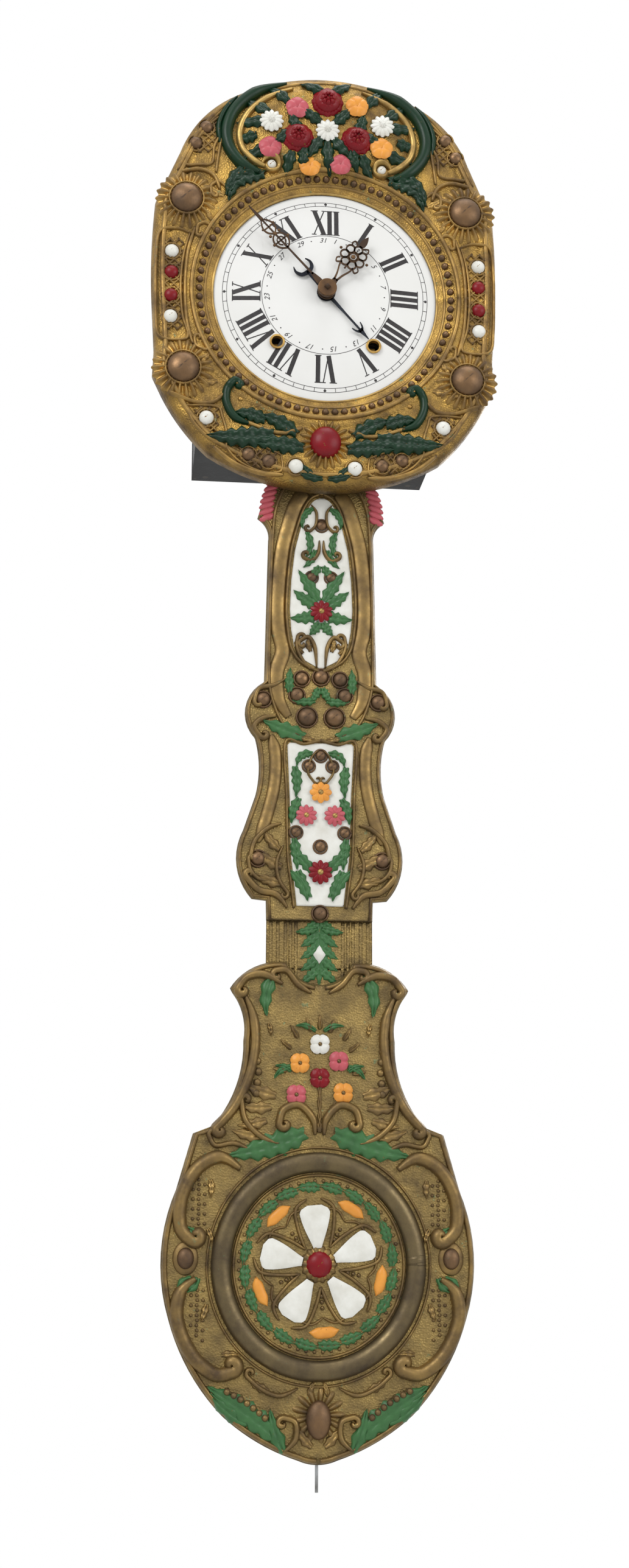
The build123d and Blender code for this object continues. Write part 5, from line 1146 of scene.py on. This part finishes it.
def bob():
    shape = Shape()
    rows = [[(BOB_CENTRE[0] + far * s * sin(a), BOB_CENTRE[1] + far * s * cos(a),
              bob_ground(BOB_CENTRE[0] + far * s * sin(a), BOB_CENTRE[1] + far * s * cos(a)))
             for a, far in zip(bob_reach_angles, bob_reach)] for s in np.linspace(0.01, 1, 72)]
    rows.append([(BOB_CENTRE[0] + far * sin(a), BOB_CENTRE[1] + far * cos(a), BOB_BACK + 0.1)
                 for a, far in zip(bob_reach_angles, bob_reach)])
    shape.grid(rows, ring=True)
    shape.add(rows[0], [tuple(range(len(rows[0])))])
    piece("bob_sheet", shape, bob_ground_brass, "bob", ("bob_plate",), thicken=1.0)

    ring = Shape()
    turns = np.linspace(0, 2 * pi + 0.1, 147)
    middle = 1 - 8.5 / RING_X
    band(ring, [ring_point(t, middle) for t in turns], 18, 8.5, bob_ground, (1, 1), sides=14)
    piece("bob_ring", ring, ring_brass, "bob")
    gold, rims = Shape(), Shape()
    for scale, width, height in ((0.795, 3.0, 3.0), (1.04, 2.6, 2.6), (0.70, 2.0, 2.4)):
        band(gold, [ring_point(t, scale) for t in turns], width, height, bob_ground, (1, 1))
    band(gold, inset_path(bob_line[1:-1], 3.4), 4.6, 3.0, bob_ground, (1, 1))
    for points, side, width, height, tight in (
        ([(8, -672), (20, -664), (30, -652), (40, -652)], -1, 6.5, 5.0, 4.5),
        ([(34, -664), (50, -656), (66, -658), (74, -668)], -1, 8.0, 6.0, 4.5),
        ([(67, -676), (60, -694), (58, -718), (63, -746), (76, -774), (92, -792)], -1, 9.0, 6.0, 4.0),
        ([(70, -828), (88, -818), (108, -828), (121, -852), (122, -878), (112, -890)], -1, 12.5, 7.5, 5.0),
        ([(108, -922), (121, -934), (123, -958), (110, -986), (90, -1002), (74, -1000)], -1, 12.5, 7.5, 5.0),
        ([(4, -798), (6, -784), (18, -772), (32, -776), (36, -788)], -1, 7.5, 5.6, 4.5),
        ([(36, -806), (52, -800), (66, -786), (70, -768)], 1, 6.0, 5.0, 4.0),
        ([(60, -812), (76, -806), (92, -808), (98, -800)], 1, 5.0, 4.4, 4.0),
        ([(30, -1066), (20, -1056), (20, -1042), (30, -1038)], -1, 6.0, 5.4, 4.5),
        ([(18, -1014), (34, -1020), (50, -1014), (62, -1004)], 1, 4.6, 4.4, 4.0),
    ):
        band(rims, curl(smooth_path(points), tight, 0.9, side), width, height, bob_ground, (0.4, 0.45), sides=10,
             lift=0.3)
    for x, z, angle, size in ((40, -764, 10, 30), (44, -774, -8, 28), (48, -786, -20, 26), (52, -800, 2, 28),
                              (96, -838, -100, 16), (98, -880, -120, 14), (98, -944, -80, 16), (84, -986, 170, 16),
                              (78, -776, -70, 14), (46, -700, -110, 12), (44, -1016, 20, 20), (6, -1062, 40, 22),
                              (8, -1020, 100, 14)):
        leaf(gold, x, z, angle, size, size * 0.5, bob_ground, 22, 3, 2.8, 0.4)
    for place in range(5):
        z = -724 - 9.5 * place
        cap(gold, 55 + 0.9 * abs(place - 2), z, bob_ground(56, z), 3.6, 3.2, rings=5, around=14)
    for n in range(22):
        row, column = divmod(n, 4)
        for z_top in (-842, -932):
            x, z = 101 + 5.4 * (column % 2) + 5.0 * (column // 2), z_top - 8.4 * row + 4.2 * (column % 2)
            if hypot(x, z - RING_AT) > 103 and x < 117:
                cap(gold, x, z, bob_ground(x, z), 1.7, 1.5, rings=3, around=8)
    for n in range(60):
        x, z = ring_point(2 * pi * (n + 0.5) / 60, 0.745)
        if x >= 0:
            cap(gold, x, z, bob_ground(x, z), 1.7, 1.5, rings=4, around=10)
    piece("bob_gold_work", gold.mirror(), bob_relief_brass, "bob")
    piece("bob_rim_scrolls", rims.mirror(), bob_relief_brass, "bob")

    stems = Shape()
    for start, bend_x in (((0, -752), 0), ((-16, -768), -7), ((16, -768), 7)):
        line = smooth_path([start, (bend_x, -780), (0, -796)])
        for strand in (-1, 1):
            path = [(x + strand * 1.0 * sin(n * 0.9), z) for n, (x, z) in enumerate(line)]
            band(stems, path, 2.4, 2.4, bob_ground, (1, 0.6))
    for x, z, angle in ((0, -704, 90), (-20, -712, 120), (22, -714, 60), (-30, -742, 170), (30, -744, 10),
                        (-26, -722, 140), (27, -724, 40), (-8, -706, 110), (9, -707, 70)):
        leaf(stems, x, z, angle, 13, 6.5, bob_ground, 0, 1, 3.4, 0.6)
    piece("bouquet_stems", stems, bob_relief_brass, "bob")

    petals, crescents, wreath, tracery = Shape(), Shape(), Shape(), Shape()
    for angle in (95, 23, -49, -121, 167):
        a = radians(angle)
        spatula(petals, angle, 15, 37, 28)
        b = a + pi / 5
        arc = [(56 * cos(b + t), RING_AT + 57 * sin(b + t)) for t in np.linspace(-0.24, 0.24, 11)]
        band(crescents, arc, 10.0, 3.4, bob_ground, (0.05, 0.05))
        for side in (-1, 1):
            turn = b + side * 0.16
            line = smooth_path([(18 * cos(b), RING_AT + 18 * sin(b)), (34 * cos(turn), RING_AT + 34 * sin(turn)),
                                (52 * cos(b + side * 0.30), RING_AT + 52 * sin(b + side * 0.30)),
                                (58 * cos(b + side * 0.52), RING_AT + 58 * sin(b + side * 0.52))])
            band(tracery, line, 3.6, 3.6, bob_ground, (0.4, 0.4))
            line = smooth_path([(44 * cos(b), RING_AT + 44 * sin(b)),
                                (50 * cos(b + side * 0.2), RING_AT + 50 * sin(b + side * 0.2)),
                                (50 * cos(b + side * 0.4), RING_AT + 50 * sin(b + side * 0.4))])
            band(tracery, line, 2.6, 3.0, bob_ground, (0.4, 0.4))
        for reach in (26, 31, 36):
            cap(tracery, reach * cos(b), RING_AT + reach * sin(b), BOB_FACE, 2.0, 2.6, rings=4, around=12)
    for n in range(20):
        a = 2 * pi * n / 20
        leaf(wreath, 64.5 * cos(a), RING_AT + 67 * sin(a), degrees(a) + 82, 22, 12, bob_ground, 26, 4, 3.0, 0.6)
    piece("bob_white_petals", petals, white, "bob")
    piece("bob_orange_crescents", crescents, orange, "bob")
    piece("bob_tracery", tracery, bob_relief_brass, "bob")
    piece("bob_wreath", wreath, green_mid, "bob")
    boss, collar = Shape(), Shape()
    cap(boss, 0, -910, BOB_FACE + 1.5, 11.5, 7.0, around=36)
    piece("bob_red_boss", boss, crimson, "bob")
    cap(collar, 0, -910, BOB_FACE, 15.5, 4.0, flutes=14, depth=0.06, around=84)
    rosette(collar, 0, -1036, BOB_FACE - 1.2, 10, 25, 13, 5.0)
    for x in (-117, 117):
        cap(collar, x, -905, bob_ground(x, -905) - 0.5, 11.5, 4.0, 1.3, around=36)
    piece("bob_collars", collar, bob_relief_brass, "bob")

    domes = Shape()
    cap(domes, 117, -905, bob_ground(117, -905) + 1.5, 7.6, 6.0, 1.25)
    domes.mirror()
    cap(domes, 0, -1040, BOB_FACE + 1.5, 11, 7.5, 1.5, around=36)
    piece("bob_oval_bosses", domes, brass_dark, "bob")
    green = Shape()
    for x, z, angle, length, width, bend in (
        (14, -797, -24, 72, 27, 16), (42, -656, -60, 40, 15, -46), (106, -890, 70, 18, 10, -60),
        (112, -888, 20, 18, 10, 50), (106, -922, -70, 18, 10, 60), (112, -922, -20, 18, 10, -50),
        (34, -1056, 40, 78, 25, -10), (30, -1066, 62, 38, 15, 20), (62, -1042, 24, 42, 16, 30),
        (4, -706, 40, 20, 7, -60), (26, -738, -10, 20, 8, -60), (26, -742, 40, 16, 7, -50),
    ):
        leaf(green, x, z, angle, length, width, bob_ground, bend, max(2, int(length / 12)), 3.8, 0.8)
    piece("bob_green_leaves", green.mirror(), green_mid, "bob")
    peas = Shape()
    bead_row(peas, smooth_path([(44, -1040), (62, -1026), (84, -1014)]), 3.0, bob_ground, 1.1)
    moved = Shape()
    moved.add([(x, z, out + 3.4) for x, z, out in peas.points], peas.faces)
    piece("bob_pea_beads", moved.mirror(), bob_relief_brass, "bob")
    eyes = Shape()
    for name, finish, places in (
        ("bouquet_white", white, [(0, -718)]), ("bouquet_orange", orange, [(-18, -735), (21, -761)]),
        ("bouquet_pink", pink, [(17, -733), (-21, -763)]), ("bouquet_red", crimson, [(0, -748)]),
    ):
        shape = Shape()
        for x, z in places:
            daisy(shape, x, z, BOB_FACE + 1.6, 9.6, 4, 3.6, 45, 0.92)
            cap(eyes, x, z, BOB_FACE + 3.6, 1.8, 1.8)
        piece(name, shape, finish, "bob")
    piece("bouquet_eyes", eyes, bob_relief_brass, "bob")


def stage():
    """Pale floor, soft lamps, an even pale surround, and the camera."""
    floor = bpy.data.meshes.new("floor")
    size, level = 6.0, -1.42
    floor.from_pydata([(-size, -size, level), (size, -size, level), (size, size, level), (-size, size, level)], [],
                      [(0, 1, 2, 3)])
    paint = Paint("pale_floor")
    paint.finish(paint.blend(paint.noise(3), rgb(232, 232, 230), rgb(226, 226, 224)), 0.7)
    glow = paint.node("ShaderNodeEmission", {}, {"Color": (1, 1, 1, 1), "Strength": 1.0})
    seen = paint.node("ShaderNodeLightPath", {}, {})
    mixed = paint.node("ShaderNodeMixShader", {}, {0: seen, 1: Wire(paint, paint.shader.outputs[0]), 2: glow})
    paint.tree.links.new(mixed.socket, paint.tree.nodes["Material Output"].inputs["Surface"])
    floor.materials.append(paint.material)
    ground = bpy.data.objects.new("floor", floor)
    bpy.context.scene.collection.objects.link(ground)
    for name, place, aim, width, watts in (
        ("key", (-1.9, -2.6, 1.5), (0, -0.1, -0.35), 1.6, 62),
        ("fill", (2.2, -2.3, 0.2), (0, -0.1, -0.5), 1.8, 30),
        ("top", (0.2, -0.6, 2.2), (0, -0.1, 0.0), 1.4, 20),
        ("back", (1.2, 2.4, 0.8), (0, 0.0, -0.2), 1.6, 30),
    ):
        lamp = bpy.data.lights.new(name, "AREA")
        lamp.size = width
        lamp.energy = watts
        holder = bpy.data.objects.new(name, lamp)
        bpy.context.scene.collection.objects.link(holder)
        holder.location = place
        holder.rotation_euler = (Vector(aim) - Vector(place)).to_track_quat("-Z", "Y").to_euler()
    world = bpy.data.worlds.new("studio")
    bpy.context.scene.world = world
    world.use_nodes = True
    nodes, links = world.node_tree.nodes, world.node_tree.links
    rays = nodes.new("ShaderNodeLightPath")
    seen = nodes.new("ShaderNodeMath")
    seen.operation = "MAXIMUM"
    links.new(rays.outputs["Is Camera Ray"], seen.inputs[0])
    links.new(rays.outputs["Is Glossy Ray"], seen.inputs[1])
    also = nodes.new("ShaderNodeMath")
    also.operation = "MAXIMUM"
    links.new(seen.outputs[0], also.inputs[0])
    links.new(rays.outputs["Is Transmission Ray"], also.inputs[1])
    strength = nodes.new("ShaderNodeMapRange")
    strength.inputs["To Min"].default_value = 0.55
    strength.inputs["To Max"].default_value = 1.0
    links.new(also.outputs[0], strength.inputs["Value"])
    links.new(strength.outputs[0], nodes["Background"].inputs["Strength"])
    nodes["Background"].inputs["Color"].default_value = (1, 1, 1, 1)

    # The photograph's view, from its fitted focal length and turns
    camera = bpy.data.cameras.new("camera")
    camera.lens = 44.72
    holder = bpy.data.objects.new("camera", camera)
    bpy.context.scene.collection.objects.link(holder)
    tilt, pan, roll = radians(12.77), radians(5.86), radians(0.26)
    forward = Vector((sin(pan) * cos(tilt), cos(pan) * cos(tilt), sin(tilt)))
    right = Vector((cos(pan), -sin(pan), 0))
    up = right.cross(forward)
    across = cos(roll) * right + sin(roll) * up
    down = sin(roll) * right - cos(roll) * up
    turn = Matrix((across, -down, -forward)).transposed().to_4x4()
    holder.matrix_world = Matrix.Translation(Vector((-0.18525, -1.9057, -0.87661))) @ turn
    bpy.context.scene.camera = holder
    bpy.context.scene.view_settings.view_transform = "Standard"


head_sheet()
head_frame()
crest()
head_sides()
head_foot()
dial_printing()
hands()
upper_plate()
bob()
stage()
